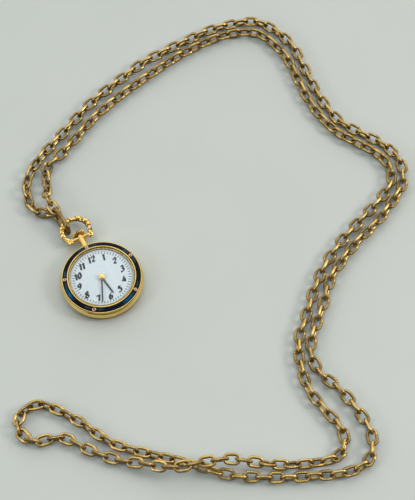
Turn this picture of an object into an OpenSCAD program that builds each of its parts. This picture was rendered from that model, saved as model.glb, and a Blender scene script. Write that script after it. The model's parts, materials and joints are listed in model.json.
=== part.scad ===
// Pendant watch with an enamelled bezel, lying on its back with its long neck chain laid out round it.
// Millimetres. The origin is the centre of the case back's flat face, +Z is up through the dial
// and +Y points to twelve o'clock, where the pendant, the bow and the chain are.

/* [Case] */
// Diameter of the gold case
case_d = 26; // [24:0.5:30]
// Height of the case middle above the table
case_h = 3.85; // [3.85:0.05:4.4]
// Thickness of the case back's floor
back_t = 0.6; // [0.45:0.05:0.6]
// Height of the case back's rim
back_h = 0.9; // [0.85:0.05:0.9]
// Width of the case wall between the movement space and the outside
case_wall = 3.25; // [3:0.05:3.25]
// Diameter of the flat that the case back stands on
back_flat_d = 19.6; // [16:0.2:20.5]

/* [Bezel] */
// Outer diameter of the enamel ring
enamel_d = 24.5; // [24.4:0.1:24.8]
// Width of the enamel ring
enamel_w = 1.5; // [1.4:0.05:1.55]
// Depth of the enamel in its channel
enamel_t = 0.4; // [0.3:0.05:0.5]
// Rise of the bezel from its outer rim to its inner lip
bezel_rise = 0.6; // [0.5:0.05:0.7]
// Width of each of the two gold steps inside the enamel
step_w = 0.3; // [0.25:0.05:0.3]
// Diameter of the dial opening
dial_opening_d = 19.6; // [19.4:0.1:19.6]
// Diameter of a ruby's gold setting
setting_d = 1.25; // [1:0.05:1.3]
// Wall of a ruby's gold setting
setting_wall = 0.16; // [0.12:0.02:0.2]

/* [Crystal] */
// Rise of the domed crystal above its edge
crystal_rise = 2.05; // [1.9:0.05:2.6]
// Thickness of the crystal
crystal_t = 0.65; // [0.5:0.05:0.65]
// Height of the crystal's edge
crystal_edge = 0.45; // [0.35:0.05:0.6]

/* [Dial and hands] */
// Thickness of the dial
dial_t = 0.3; // [0.25:0.05:0.3]
// Length of the minute hand
minute_hand_l = 8.8; // [7:0.1:8.9]
// Length of the hour hand
hour_hand_l = 6.6; // [5:0.1:7.5]
// Width of a hand near the centre
hand_w = 0.46; // [0.3:0.02:0.6]
// Thickness of a hand
hand_t = 0.1; // [0.08:0.01:0.12]
// Diameter of the domed cap on the hands
cap_d = 2.1; // [1.9:0.1:2.6]
// Length of a minute mark on the dial
mark_l = 0.6; // [0.4:0.05:0.7]
// Width of a minute mark on the dial
mark_w = 0.15; // [0.1:0.01:0.18]
// Hour shown by the hands
hour_shown = 5; // [0:1:11]
// Minute shown by the hands
minute_shown = 33.5; // [0:0.5:59.5]
// How far the hour hand stands past its true place, in degrees
hour_lead = 3; // [0:0.5:3]

/* [Pendant, crown and bow] */
// Diameter of the pendant neck
neck_d = 2.3; // [2.2:0.1:2.8]
// Distance from the dial's centre to the bow's pivot
pivot_y = 16.7; // [16.5:0.1:16.9]
// Distance from the pivot to the end of the neck
neck_end = 0.8; // [0.8:0.05:0.95]
// Length of the crossbar that the bow hangs on
bar_l = 4.3; // [4.1:0.1:4.5]
// Diameter of the crossbar
bar_d = 1.4; // [1.35:0.05:1.6]
// Diameter of the collar at the end of the neck
collar_d = 1.7; // [1.6:0.05:2]
// Diameter of the crown
crown_d = 4.2; // [3.8:0.1:4.3]
// Length of the crown
crown_l = 1.2; // [1:0.1:1.4]
// Number of flutes round the crown
flute_count = 18; // [12:1:30]
// How far the crown pulls out to set the hands
crown_pull = 0.6; // [0.4:0.05:0.6]
// Inner diameter of the bow
bow_bore = 7.4; // [7:0.1:7.8]
// Thickness of the bow's wire
bow_t = 1.4; // [1.1:0.1:1.5]
// Distance from the pivot to the middle of the bow
bow_reach = 2.9; // [2.7:0.1:3.1]
// Diameter of the pins at the bow's ends
bow_pin_d = 0.7; // [0.5:0.05:0.8]

/* [Chain and bail] */
// Length of a chain link
link_l = 5.6; // [5.3:0.1:5.9]
// Width of a chain link
link_w = 3.7; // [3.6:0.05:3.9]
// Thickness of a chain link's wire
link_t = 0.96; // [0.8:0.02:0.96]
// Length of the bail
bail_l = 10.6; // [10.2:0.1:11]
// Width of the bail
bail_w = 5.9; // [5.7:0.1:6.2]
// Thickness of the bail's wire
bail_t = 1.4; // [1.2:0.05:1.4]
// Length that the chain's route is drawn to
route_size = 100; // [95:1:110]

/* [Movement] */
// Diameter of the mainplate
plate_d = 17.5; // [17.4:0.05:17.6]
// Thickness of the mainplate
plate_t = 0.5; // [0.45:0.05:0.5]
// Height of the space for the train between mainplate and bridges
train_space = 1.1; // [1.1:0.01:1.12]
// Thickness of the bridges
bridge_t = 0.55; // [0.5:0.01:0.55]
// Thickness of the wheels
wheel_t = 0.12; // [0.1:0.01:0.13]
// Height of the barrel
barrel_h = 0.62; // [0.55:0.01:0.64]
// Diameter of the balance wheel
balance_d = 5.2; // [4.4:0.1:5.3]
// Diameter of a pivot
pivot_d = 0.18; // [0.12:0.01:0.2]
// Diameter of an arbor
arbor_d = 0.32; // [0.28:0.01:0.34]
// Diameter of a jewel
jewel_d = 0.7; // [0.6:0.02:0.74]
// Diameter of the winding stem
stem_d = 0.7; // [0.6:0.02:0.72]

/* [Hidden] */
$fn = 48;

// Clearances and small shared sizes
run_gap = 0.02;
loose_gap = 0.05;
air_gap = 0.3;
over = 1;
edge = 0.1;
screw_d = 0.4;
screw_head_d = 0.9;
screw_head_t = 0.2;
slot_w = 0.15;
half = 0.5;

// Levels, from the table up
bridge_z = 1.1;
train_z = bridge_z + bridge_t;
plate_z = train_z + train_space;
motion_z = plate_z + plate_t;
dial_z = case_h;
dial_top = dial_z + dial_t;
bezel_z = case_h;
rim_z = dial_top + loose_gap + air_gap;
lip_z = rim_z + bezel_rise;
seat_rise = 0.55;
seat_z = dial_top + seat_rise;
stem_z = plate_z - stem_d / 2 - loose_gap;
hand_rise = 0.25;
hand_gap = 0.2;
hour_hand_z = dial_top + hand_rise;
minute_hand_z = hour_hand_z + hand_t + hand_gap;
cap_z = minute_hand_z + hand_t;

// Radii of the case
case_r = case_d / 2;
space_r = case_r - case_wall;
enamel_r = enamel_d / 2;
lip_r = enamel_r - enamel_w;
seat_r = lip_r - 2 * step_w + loose_gap;
opening_r = dial_opening_d / 2;
dial_lap = 0.15;
dial_r = opening_r + dial_lap;
snap_w = 0.8;
back_r = space_r + snap_w;
foot_t = 0.3;
rim_wall = 0.3;
bezel_r = enamel_r + rim_wall;
// The case's side from the flange at the back to the bezel, as shares of its radius and its height
side_shares = [[0.946, 0.078], [0.977, 0.12], [0.977, 0.21], [0.95, 0.25], [0.95, 0.30], [0.992, 0.38],
    [1, 0.52], [1, 0.75], [0.984, 0.9]];

// Toothed wheels: teeth, with the tooth size as a module in millimetres
barrel_m = 0.11;
centre_m = 0.1;
third_m = 0.09;
fourth_m = 0.08;
keyless_m = 0.13;
motion_m = 0.1;
hour_m = 0.096;
barrel_n = 72;
centre_pinion_n = 12;
centre_n = 64;
third_pinion_n = 8;
third_n = 60;
fourth_pinion_n = 8;
fourth_n = 70;
escape_pinion_n = 7;
escape_n = 15;
ratchet_n = 54;
crown_wheel_n = 33;
winding_n = 18;
cannon_n = 12;
minute_n = 36;
minute_pinion_n = 10;
hour_n = 40;
setting_n = 18;

// Where the arbors stand, each reached from the wheel that drives it
function polar(r, a) = [r * cos(a), r * sin(a)];
function span(m, n1, n2) = m * (n1 + n2) / 2;
centre_at = [0, 0];
barrel_a = 10;
third_a = 150;
fourth_a = 250;
escape_a = -80;
pallet_a = -25;
barrel_at = polar(span(barrel_m, barrel_n, centre_pinion_n), barrel_a);
third_at = polar(span(centre_m, centre_n, third_pinion_n), third_a);
fourth_at = third_at + polar(span(third_m, third_n, fourth_pinion_n), fourth_a);
escape_at = fourth_at + polar(span(fourth_m, fourth_n, escape_pinion_n), escape_a);
escape_r = 1.6;
escape_r_shares = [0.75, 1, 0.78];
escape_turn_shares = [0, 0.2, 0.32];
pallet_span = 2;
pallet_at = escape_at + polar(pallet_span, pallet_a);
balance_span = 3.5;
balance_a = -10.6;
balance_at = pallet_at + polar(balance_span, balance_a);
winding_y = 6.15;
crown_wheel_a = 143.6;
crown_wheel_at = barrel_at + polar(span(keyless_m, ratchet_n, crown_wheel_n), crown_wheel_a);
minute_a = 140;
setting_a = 35;
minute_at = polar(span(motion_m, cannon_n, minute_n), minute_a);
setting_at = minute_at + polar(span(motion_m, minute_n, setting_n), setting_a);

// Pillars under the bridges, as angles on one circle
pillar_d = 1;
pillar_in = 0.2;
pillar_r = plate_d / 2 - pillar_d / 2 - pillar_in;
barrel_pillars = [53, 112, -33];
train_pillars = [160, 235];
cock_pillars = [-52];
pallet_pillars = [256];
all_pillars = concat(barrel_pillars, train_pillars, cock_pillars, pallet_pillars);
bridge_in = 0.15;
bridge_r = plate_d / 2 - bridge_in;
pallet_bridge_drop = 0.65;
pallet_bridge_z = plate_z - pallet_bridge_drop;
pallet_bridge_t = 0.25;

// Levels of the wheels in the train space
centre_drop = 0.27;
third_rise = 0.15;
fourth_rise = 0.55;
escape_drop = 0.3;
balance_rise = 0.4;
barrel_rise = 0.07;
keyless_drop = 0.3;
spring_rise = 0.12;
centre_wheel_z = plate_z - centre_drop;
third_wheel_z = train_z + third_rise;
fourth_wheel_z = train_z + fourth_rise;
escape_wheel_z = plate_z - escape_drop;
balance_z = train_z + balance_rise;
balance_t = 0.15;
barrel_z = train_z + barrel_rise;
barrel_wall = 0.12;
barrel_in = 0.2;
barrel_r = barrel_m * barrel_n / 2 - barrel_in;
barrel_arbor_r = 0.3;
keyless_z = bridge_z - keyless_drop;
keyless_t = 0.25;
fork_z = escape_wheel_z;
roller_r = 0.5;
pin_reach = 0.42;
spring_z = train_z + spring_rise;
spring_h = 0.15;

// A wheel's teeth: a closed outline with four corners to a tooth and a tooth at angle zero
tooth_shares = [-0.30, -0.15, 0.15, 0.30];
tip_share = 0.75;
root_share = 1.05;
function pitch_r(m, n) = m * n / 2;
function teeth(m, n) = [for (i = [0:n - 1]) for (j = [0:3])
    polar(pitch_r(m, n) + m * (j == 1 || j == 2 ? tip_share : -root_share), (i + tooth_shares[j]) * 360 / n)];
// Angle that puts a wheel of n2 teeth in mesh with one of n1 teeth, from the first one's angle
function mesh_turn(turn1, n1, a, n2) = a + 180 - 360 / n2 * ((turn1 - a) * n1 / 360 + half);
centre_turn = mesh_turn(0, barrel_n, barrel_a + 180, centre_pinion_n);
third_turn = mesh_turn(0, centre_n, third_a, third_pinion_n);
fourth_turn = mesh_turn(0, third_n, fourth_a, fourth_pinion_n);
escape_turn = mesh_turn(0, fourth_n, escape_a, escape_pinion_n);
minute_turn = mesh_turn(0, cannon_n, minute_a, minute_n);
hour_turn = mesh_turn(0, minute_pinion_n, minute_a + 180, hour_n);
setting_turn = mesh_turn(minute_turn, minute_n, setting_a, setting_n);
crown_wheel_turn = mesh_turn(0, ratchet_n, crown_wheel_a, crown_wheel_n);

// The bail, from its near end inside the bow to its far end in the chain
bail_lean = 98;
bail_yaw = 6.8;
bail_x = -3.15;
bail_y = pivot_y + bow_reach + bow_bore / 2 + bow_t - edge;
bail_z = (bail_w - bail_t) / 2 * sin(bail_lean) + bail_t / 2 + edge;
bail_tip = [bail_x, bail_y] + polar(bail_l / 2 - bail_t, 90 + bail_yaw);

// The chain's route on the table, from the bail's tip round to it again, and its lift over itself,
// as shares of the length that it is drawn to, with the tip's own place in them
start_share = [-0.0361, 0.2844];
route_shares = [
    [-0.0253, 0.2826, 0.001], [-0.0744, 0.3075, 0], [-0.0955, 0.3562, 0], [-0.070, 0.440, 0],
    [0.000, 0.500, 0], [0.075, 0.540, 0], [0.150, 0.580, 0], [0.225, 0.620, 0], [0.305, 0.650, 0],
    [0.385, 0.675, 0], [0.470, 0.700, 0], [0.555, 0.710, 0], [0.640, 0.717, 0], [0.725, 0.722, 0],
    [0.805, 0.712, 0], [0.890, 0.685, 0], [0.937, 0.612, 0], [0.957, 0.530, 0], [0.950, 0.445, 0],
    [0.942, 0.360, 0], [0.940, 0.280, 0], [0.952, 0.195, 0], [0.992, 0.122, 0], [1.037, 0.050, 0],
    [1.055, -0.030, 0], [1.020, -0.110, 0], [0.950, -0.157, 0], [0.875, -0.197, 0], [0.797, -0.225, 0],
    [0.722, -0.262, 0], [0.650, -0.305, 0], [0.592, -0.367, 0], [0.532, -0.427, 0], [0.475, -0.490, 0],
    [0.460, -0.570, 0], [0.490, -0.650, 0], [0.505, -0.735, 0], [0.505, -0.820, 0], [0.455, -0.887, 0],
    [0.375, -0.887, 0], [0.295, -0.857, 0], [0.212, -0.822, 0], [0.142, -0.785, 0], [0.067, -0.740, 0],
    [0.005, -0.680, 0], [-0.060, -0.625, 0], [-0.125, -0.570, 0], [-0.190, -0.510, 0],
    [-0.228, -0.448, 0], [-0.252, -0.401, 0], [-0.279, -0.362, 0], [-0.303, -0.328, 0],
    [-0.331, -0.299, 0], [-0.3655, -0.289, 0], [-0.399, -0.298, 0], [-0.421, -0.324, 0],
    [-0.424, -0.358, 0], [-0.408, -0.389, 0], [-0.379, -0.407, 0], [-0.345, -0.411, 0],
    [-0.314, -0.425, 0], [-0.290, -0.455, 0], [-0.258, -0.500, 0], [-0.205, -0.555, 0],
    [-0.140, -0.605, 0.012], [-0.070, -0.662, 0.035], [0.010, -0.685, 0.037], [0.092, -0.712, 0.035],
    [0.162, -0.750, 0.01], [0.237, -0.792, 0], [0.315, -0.822, 0], [0.372, -0.836, 0],
    [0.418, -0.812, 0], [0.433, -0.760, 0], [0.418, -0.690, 0], [0.405, -0.610, 0], [0.420, -0.530, 0],
    [0.452, -0.455, 0], [0.512, -0.392, 0], [0.570, -0.330, 0], [0.630, -0.275, 0], [0.702, -0.227, 0],
    [0.777, -0.190, 0], [0.855, -0.157, 0], [0.935, -0.122, 0], [1.000, -0.075, 0], [1.010, 0.005, 0],
    [0.972, 0.080, 0], [0.927, 0.155, 0], [0.905, 0.235, 0], [0.900, 0.320, 0], [0.907, 0.405, 0],
    [0.915, 0.490, 0], [0.905, 0.564, 0], [0.874, 0.636, 0], [0.805, 0.672, 0], [0.720, 0.682, 0],
    [0.635, 0.677, 0], [0.555, 0.665, 0], [0.470, 0.645, 0], [0.390, 0.625, 0], [0.310, 0.600, 0],
    [0.230, 0.570, 0], [0.155, 0.530, 0], [0.080, 0.490, 0], [0.005, 0.455, 0], [-0.018, 0.390, 0.005],
    [-0.040, 0.3345, 0.029], [-0.033, 0.278, 0.02]];
flat_roll = 12;
// The chain's twist along its length, as shares of the length and of a quarter turn
twist_shares = [[0, 0.19], [0.05, 1], [0.40, 1], [0.46, 0], [0.60, 0], [0.66, 1], [0.95, 1], [1, -0.1]];
chain_rise = 0.03;
chain_z = (link_w - link_t) / 2 * cos(flat_roll) + link_t / 2 + chain_rise;
slack = 0.07;
taut_pitch = link_l - 2 * link_t - slack;
curve_steps = 8;
route = [for (p = route_shares) [bail_tip[0] + (p[0] - start_share[0]) * route_size,
    bail_tip[1] + (p[1] - start_share[1]) * route_size, p[2] * route_size]];
last = len(route) - 1;
function curve(a, b, c, d, t) = (2 * b + (c - a) * t + (2 * a - 5 * b + 4 * c - d) * t * t
    + (3 * b - a - 3 * c + d) * t * t * t) / 2;
fine_route = [for (i = [0:last - 1]) for (k = [0:curve_steps - (i < last - 1 ? 1 : 0)])
    let (p = curve(route[max(i - 1, 0)], route[i], route[i + 1], route[min(i + 2, last)], k / curve_steps))
        [p[0], p[1], max(p[2], 0) + chain_z]];
fine_last = len(fine_route) - 1;
along = [for (i = 0, s = 0; i <= fine_last;
    s = s + (i < fine_last ? norm(fine_route[i + 1] - fine_route[i]) : 0), i = i + 1) s];
route_l = along[fine_last];
tables = [for (axis = [0:2]) [for (i = [0:fine_last]) [along[i], fine_route[i][axis]]]];
function on_route(s) = [for (axis = [0:2]) lookup(s, tables[axis])];
link_count = 2 * round((route_l / taut_pitch - 1) / 2) + 1;

// The links meet at joints that step along the route, a little closer together where it bends
bend_shrink = 0.45;
bend_unit = 36;
function turn_between(u, v) = acos(min(1, u * v / (norm(u) * norm(v))));
function bend_at(s, h) = s - h < 0 || s + h > route_l ? 0
    : turn_between(on_route(s + h) - on_route(s), on_route(s) - on_route(s - h));
function reach(s, chord, d, tries) = tries == 0 ? s + d
    : reach(s, chord, d * chord / max(edge, norm(on_route(s + d) - on_route(s))), tries - 1);
function next_joint(s, pitch) =
    let (chord = pitch - bend_shrink * pow(bend_at(s + pitch / 2, pitch) / bend_unit, 2))
        reach(s, chord, chord, 3);
function joints(pitch) = [for (k = 0, s = 0; k <= link_count; s = next_joint(s, pitch), k = k + 1) s];
// The pitch at which the links fill the route
function fitted_pitch(pitch, tries) = tries == 0 ? pitch
    : fitted_pitch(pitch * route_l / joints(pitch)[link_count], tries - 1);

// The neck, and what the bezel and the crystal stand on
spigot_step = 0.4;
neck_root = 1;
collar_l = 0.9;
ruby_r = (enamel_r + lip_r) / 2;
ruby_turns = [0, 69.5, 144, 221, 284.5];
tilt = atan2(lip_z - 2 * edge - rim_z, enamel_w);
function dome_r(rise, r) = (r * r + rise * rise) / (2 * rise);
crystal_r = seat_r - run_gap;
glass_z = seat_z + crystal_edge;

// The bow's ring, with beads, scrolls and a rosette at these turns, as shares of its wire's thickness
bow_r = (bow_bore + bow_t) / 2;
bow_y = pivot_y + bow_reach;
bow_end_a = 48;
bead_turns = [28, 44, 60, 136, 152, 168];
bead_share = 0.9;
bead_out_share = 0.25;
scroll_turns = [-46, -13, 4, 189, 215];
scroll_out_shares = [0.5, 0.43, -0.43, 0.2, 0.15];
scroll_shares = [1.36, 1.14, 0.8, 1.06, 1.57];
scroll_h_share = 0.74;
knuckle_d = 1.5;
knuckle_in = bar_l / 2 + loose_gap;
knuckle_l = 0.9;
bow_x = -0.3;
bow_pin_l = 0.7;

// The crown, the stem and the two pinions on it
crown_y = pivot_y + neck_end + edge;
flute_depth = 0.2;
groove_y = 7.25;
groove_w = 0.5;
groove_d = 0.4;
stem_in = 4.2;
winding_w = 0.8;
clutch_d = 1.3;
clutch_l = 0.95;
clutch_y = 4.7;
clutch_groove_d = 0.95;
clutch_groove_w = 0.34;

// The dial, its marks and the ring round the movement
dial_feet = [20, 200];
foot_in = 0.85;
foot_r = plate_d / 2 - foot_in;
foot_d = 0.5;
mark_t = 0.02;
mark_in = 0.8;
function mark_width(i) = i % 5 == 0 ? 2 * mark_w : mark_w;
ring_z = back_h + loose_gap;
case_screw_turns = [30, 150, 270];
ring_mid = (space_r - loose_gap + plate_d / 2 + loose_gap) / 2;
screw_in = 0.8;

// The mainplate and the bridges, whose outlines are shares of the plate's radius
train_arbors = [third_at, fourth_at, escape_at];
block_y = 6.7;
block_w = 2.2;
slot_half = keyless_m * (winding_n / 2 + 1) + edge;
jewel_t = 0.3;
centre_arbor_d = 0.5;
post_d = 0.3;
barrel_outline_shares = [[-0.44, 1.02], [-0.13, 0.12], [-0.13, -0.14], [0.07, -0.33], [0.60, -0.33],
    [0.66, -0.66], [1.02, -0.58], [1.02, 1.02]];
train_outline_shares = [[-1.02, 0.64], [-0.46, 0.64], [-0.19, 0.14], [-0.19, -0.30], [-0.28, -0.62],
    [-0.39, -1.02], [-1.02, -1.02]];
boss_d = 1;
bar_w = 0.9;
cock_w = 1.7;
stud_r = 1.7;
regulator_t = 0.15;
regulator_l = 2.2;
regulator_d = 1.3;
regulator_a = 200;

// The barrel, the click and the wheels' crossings
hub_d = 1;
mainspring_t = 0.12;
click_a = 215;
click_gap = 0.55;
click_reach = pitch_r(keyless_m, ratchet_n) + keyless_m + click_gap;
click_at = barrel_at + polar(click_reach, click_a);
click_d = 0.8;
click_nose = 0.75;
click_w = 0.26;
click_lean = 52;
click_spring_in = 0.5;
click_spring_lean = 60;
crossings = 4;
crossing_at_share = 0.52;
crossing_share = 0.27;

// The pallet fork and the balance
fork_w = 0.22;
anchor_l = 1.15;
pallet_w = 0.16;
pallet_l = 0.5;
fork_l = balance_span - pin_reach;
toward_escape = pallet_a + 180;
rim_w = 0.3;

// The keyless work, the motion work and the hands
lever_z = motion_z + loose_gap;
lever_t = 0.15;
lever_pin_d = 0.28;
lever_w = 0.7;
lever_at = [1.9, groove_y + crown_pull / 2];
yoke_at = [-2.3, clutch_y + clutch_l / 2 + loose_gap];
motion_wheel_z = motion_z + loose_gap;
hour_wheel_drop = 0.29;
hour_wheel_z = dial_z - hour_wheel_drop;
cannon_d = 0.9;
hour_tube_d = 1.5;
minute_turned = -6 * minute_shown;
hour_turned = -30 * hour_shown - minute_shown / 2 - hour_lead;

module gear(m, n, t) linear_extrude(t) polygon(teeth(m, n));

module disc(d, z0, z1) translate([0, 0, z0]) cylinder(d = d, h = z1 - z0);

module tube(outer, bore, z0, z1) difference() {
    disc(outer, z0, z1);
    disc(bore, z0 - over, z1 + over);
}

// A link or the bail: two half rings joined by two straight wires, long along X
module oval(l, w, t) {
    bend = (w - t) / 2;
    straight = l - w;
    for (side = [0, 180]) rotate([0, 0, side]) {
        translate([straight / 2, 0, 0]) rotate([0, 0, -90]) rotate_extrude(angle = 180)
            translate([bend, 0]) circle(d = t);
        translate([-straight / 2, bend, 0]) rotate([0, 90, 0]) cylinder(d = t, h = straight);
    }
}

// Every second link, from its first joint to its last, each turned a quarter from its neighbours
module links(first) {
    places = [for (s = joints(fitted_pitch(taut_pitch, 4))) on_route(s)];
    for (k = [first:2:link_count - 1]) {
        way = places[k + 1] - places[k];
        translate((places[k] + places[k + 1]) / 2)
            rotate([0, -atan2(way[2], norm([way[0], way[1]])), atan2(way[1], way[0])])
                rotate([flat_roll + 90 * (first + lookup(k / link_count, twist_shares)), 0, 0])
                    oval(link_l, link_w, link_t);
    }
}

module chain_smooth_links() color("darkgoldenrod") links(0);

module chain_ribbed_links() color("goldenrod") links(1);

module bail() color("saddlebrown") translate([bail_x, bail_y, bail_z])
    rotate([0, 0, 90 + bail_yaw]) rotate([bail_lean, 0, 0]) oval(bail_l, bail_w, bail_t);

module case_back() color("gold") difference() {
    rotate_extrude() polygon([[0, 0], [back_flat_d / 2, 0], [back_r - loose_gap, foot_t],
        [back_r - loose_gap, back_h], [0, back_h]]);
    disc(2 * (space_r - loose_gap), back_t, back_h + over);
}

// Outside of the case middle, as a solid of revolution
module case_outside() rotate_extrude() polygon(concat([[0, foot_t], [back_r + edge, foot_t]],
    [for (p = side_shares) [p[0] * case_r, p[1] * case_h]], [[bezel_r, case_h], [0, case_h]]));

module case_middle() color("gold") difference() {
    case_outside();
    disc(2 * back_r, -over, back_h);
    disc(2 * space_r, back_h - over, case_h + over);
    along_stem() cylinder(d = neck_d - 2 * spigot_step, h = case_r + over);
}

// Lays what is built along Z on the stem's line, towards the crown
module along_stem() translate([0, 0, stem_z]) rotate([-90, 0, 0]) children();

module bezel() color("gold")
    rotate_extrude() polygon([[opening_r, dial_top], [dial_r + edge, dial_top], [dial_r + edge, bezel_z],
        [bezel_r, bezel_z], [bezel_r, rim_z - edge], [bezel_r - edge, rim_z],
        [enamel_r, rim_z], [enamel_r, rim_z - enamel_t], [lip_r, lip_z - 2 * edge - enamel_t],
        [lip_r, lip_z], [lip_r - step_w, lip_z], [lip_r - step_w, lip_z - 2 * edge],
        [seat_r, lip_z - 2 * edge], [seat_r, seat_z], [opening_r, seat_z]]);

// Carries a piece to each ruby's place, tilted with the enamel
module at_rubies() for (turn = ruby_turns) rotate([0, 0, turn])
    translate([0, ruby_r, (rim_z + lip_z) / 2 - edge]) rotate([-tilt, 0, 0]) children();

module enamel_ring() color("midnightblue") difference() {
    rotate_extrude() polygon([[enamel_r - run_gap, rim_z - enamel_t + run_gap], [enamel_r - run_gap, rim_z],
        [ruby_r, (rim_z + lip_z) / 2 - edge / 2], [lip_r + run_gap, lip_z - 2 * edge],
        [lip_r + run_gap, lip_z - 2 * edge - enamel_t + run_gap]]);
    at_rubies() translate([0, 0, -over]) cylinder(d = setting_d + 2 * run_gap, h = 2 * over);
}

module ruby_settings() color("gold") at_rubies() translate([0, 0, -enamel_t + loose_gap])
    tube(setting_d, setting_d - 2 * setting_wall, 0, enamel_t + edge);

module rubies() color("crimson") at_rubies() {
    stone = setting_d - 2 * setting_wall - 2 * run_gap;
    translate([0, 0, -enamel_t / 2]) cylinder(d = stone, h = enamel_t / 2);
    cylinder(d1 = stone, d2 = stone / 2, h = 2 * edge);
}

// A dome with a flat foot at height z
module dome(r, rise, z) {
    big = dome_r(rise, r);
    translate([0, 0, z]) intersection() {
        translate([0, 0, rise - big]) sphere(r = big, $fn = 96);
        cylinder(r = r, h = rise + over);
    }
}
module crystal() color("lightcyan", 0.35) difference() {
    union() {
        disc(2 * crystal_r, seat_z, glass_z);
        dome(crystal_r, crystal_rise, glass_z);
    }
    inner = opening_r - air_gap;
    disc(2 * inner, seat_z - over, glass_z - edge);
    dome(inner, crystal_rise - crystal_t + edge, glass_z - edge);
}

module pendant_neck() color("goldenrod") difference() {
    union() {
        difference() {
            along_stem() translate([0, 0, case_r - neck_root]) cylinder(d = neck_d,
                h = pivot_y - collar_l - case_r + neck_root);
            case_outside();
            disc(case_d, case_h - edge, 2 * case_h);
        }
        along_stem() translate([0, 0, space_r + air_gap])
            cylinder(d = neck_d - 2 * spigot_step - 2 * run_gap, h = case_wall - air_gap);
        along_stem() translate([0, 0, pivot_y - collar_l - over])
            cylinder(d = collar_d, h = over + collar_l + neck_end);
        translate([-bar_l / 2, pivot_y, stem_z]) rotate([0, 90, 0]) cylinder(d = bar_d, h = bar_l);
    }
    along_stem() cylinder(d = stem_d + 2 * air_gap, h = pivot_y + neck_end + over);
    translate([-bar_l, pivot_y, stem_z]) rotate([0, 90, 0])
        cylinder(d = bow_pin_d + 2 * run_gap, h = 2 * bar_l);
}

// Carries a piece to a place on the bow's ring
module on_bow(turn, out) translate([bow_x, bow_y, stem_z]) rotate([0, 0, turn])
    translate([bow_r + out, 0, 0]) children();
// The bow: a ring of wire open at the pendant, with cast ornaments, knuckles and pins
module bow() color("gold") {
    difference() {
        translate([bow_x, bow_y, stem_z]) rotate([0, 0, -bow_end_a])
            rotate_extrude(angle = 180 + 2 * bow_end_a) translate([bow_r, 0]) circle(d = bow_t);
        translate([-bar_l / 2 - run_gap, pivot_y - knuckle_d, 0])
            cube([bar_l + 2 * run_gap, 2 * knuckle_d, 2 * stem_z]);
    }
    for (turn = bead_turns) on_bow(turn, bow_t * bead_out_share) sphere(d = bow_t * bead_share);
    for (i = [0:len(scroll_turns) - 1]) on_bow(scroll_turns[i], bow_t * scroll_out_shares[i])
        cylinder(d = bow_t * scroll_shares[i], h = bow_t * scroll_h_share, center = true);
    for (side = [0, 1]) mirror([side, 0, 0]) translate([0, pivot_y, stem_z]) rotate([0, 90, 0]) {
        translate([0, 0, knuckle_in]) cylinder(d = knuckle_d, h = knuckle_l);
        translate([0, 0, knuckle_in - bow_pin_l]) cylinder(d = bow_pin_d, h = bow_pin_l + knuckle_l / 2);
    }
}

// The crown: a fluted barrel shape on the end of the stem
module crown() color("gold") along_stem() difference() {
    intersection() {
        translate([0, 0, crown_y]) linear_extrude(crown_l) polygon([for (i = [0:flute_count - 1])
            for (j = [0:3]) polar(crown_d / 2 - (j == 0 || j == 3 ? flute_depth : 0),
                (i + tooth_shares[j]) * 360 / flute_count)]);
        rotate_extrude() polygon([[0, crown_y], [crown_d / 2 - 2 * edge, crown_y],
            [crown_d / 2, crown_y + 3 * edge], [crown_d / 2, crown_y + crown_l - 5 * edge],
            [crown_d / 2 - 4 * edge, crown_y + crown_l - edge], [crown_d / 4, crown_y + crown_l],
            [0, crown_y + crown_l]]);
    }
    translate([0, 0, crown_y - over]) cylinder(d = stem_d, h = over + crown_l / 2);
}

// The stem, with the groove that the setting lever's pin stands in
module winding_stem() color("silver") along_stem() difference() {
    translate([0, 0, stem_in]) cylinder(d = stem_d, h = crown_y + crown_l / 2 - stem_in);
    translate([0, 0, groove_y - groove_w / 2]) tube(stem_d + over, groove_d, 0, groove_w);
}

module winding_pinion() color("silver") along_stem() translate([0, 0, winding_y - winding_w / 2])
    difference() {
        gear(keyless_m, winding_n, winding_w);
        translate([0, 0, -over]) cylinder(d = stem_d + 2 * run_gap, h = winding_w + 2 * over);
    }

module sliding_pinion() color("silver") along_stem() translate([0, 0, clutch_y]) difference() {
    cylinder(d = clutch_d, h = clutch_l);
    translate([0, 0, (clutch_l - clutch_groove_w) / 2])
        tube(clutch_d + over, clutch_groove_d, 0, clutch_groove_w);
    translate([0, 0, -over]) cylinder(d = stem_d + 2 * run_gap, h = clutch_l + 2 * over);
}

module dial() color("white") {
    difference() {
        disc(2 * dial_r, dial_z, dial_top);
        disc(hour_tube_d + 2 * edge, dial_z - over, dial_top + over);
    }
    for (a = dial_feet) rotate([0, 0, a]) translate([foot_r, 0, 0])
        disc(foot_d, motion_z - plate_t / 2, dial_z);
}

module dial_marks() color("black") for (i = [0:59]) rotate([0, 0, 6 * i])
    translate([-mark_width(i) / 2, opening_r - mark_in - mark_l, dial_top])
        cube([mark_width(i), mark_l, mark_t]);

module movement_ring() color("lightgray") difference() {
    tube(2 * (space_r - loose_gap), plate_d + 2 * loose_gap, ring_z, motion_z);
    along_stem() cylinder(d = stem_d + 2 * air_gap, h = case_r);
    for (a = case_screw_turns) rotate([0, 0, a]) translate([ring_mid, 0, 0])
        disc(screw_d, 0, ring_z + screw_in);
}

module case_screws() color("steelblue") for (a = case_screw_turns) rotate([0, 0, a])
    translate([ring_mid, 0, 0]) slotted_screw(ring_z, screw_in, screw_head_d - edge);

// A slotted screw whose head lies below the level z, towards the back
module slotted_screw(z, l, head) {
    disc(screw_d, z, z + l);
    difference() {
        disc(head, z - screw_head_t, z);
        translate([-head, -slot_w / 2, z - screw_head_t - over]) cube([2 * head, slot_w, over + edge]);
    }
}

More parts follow.
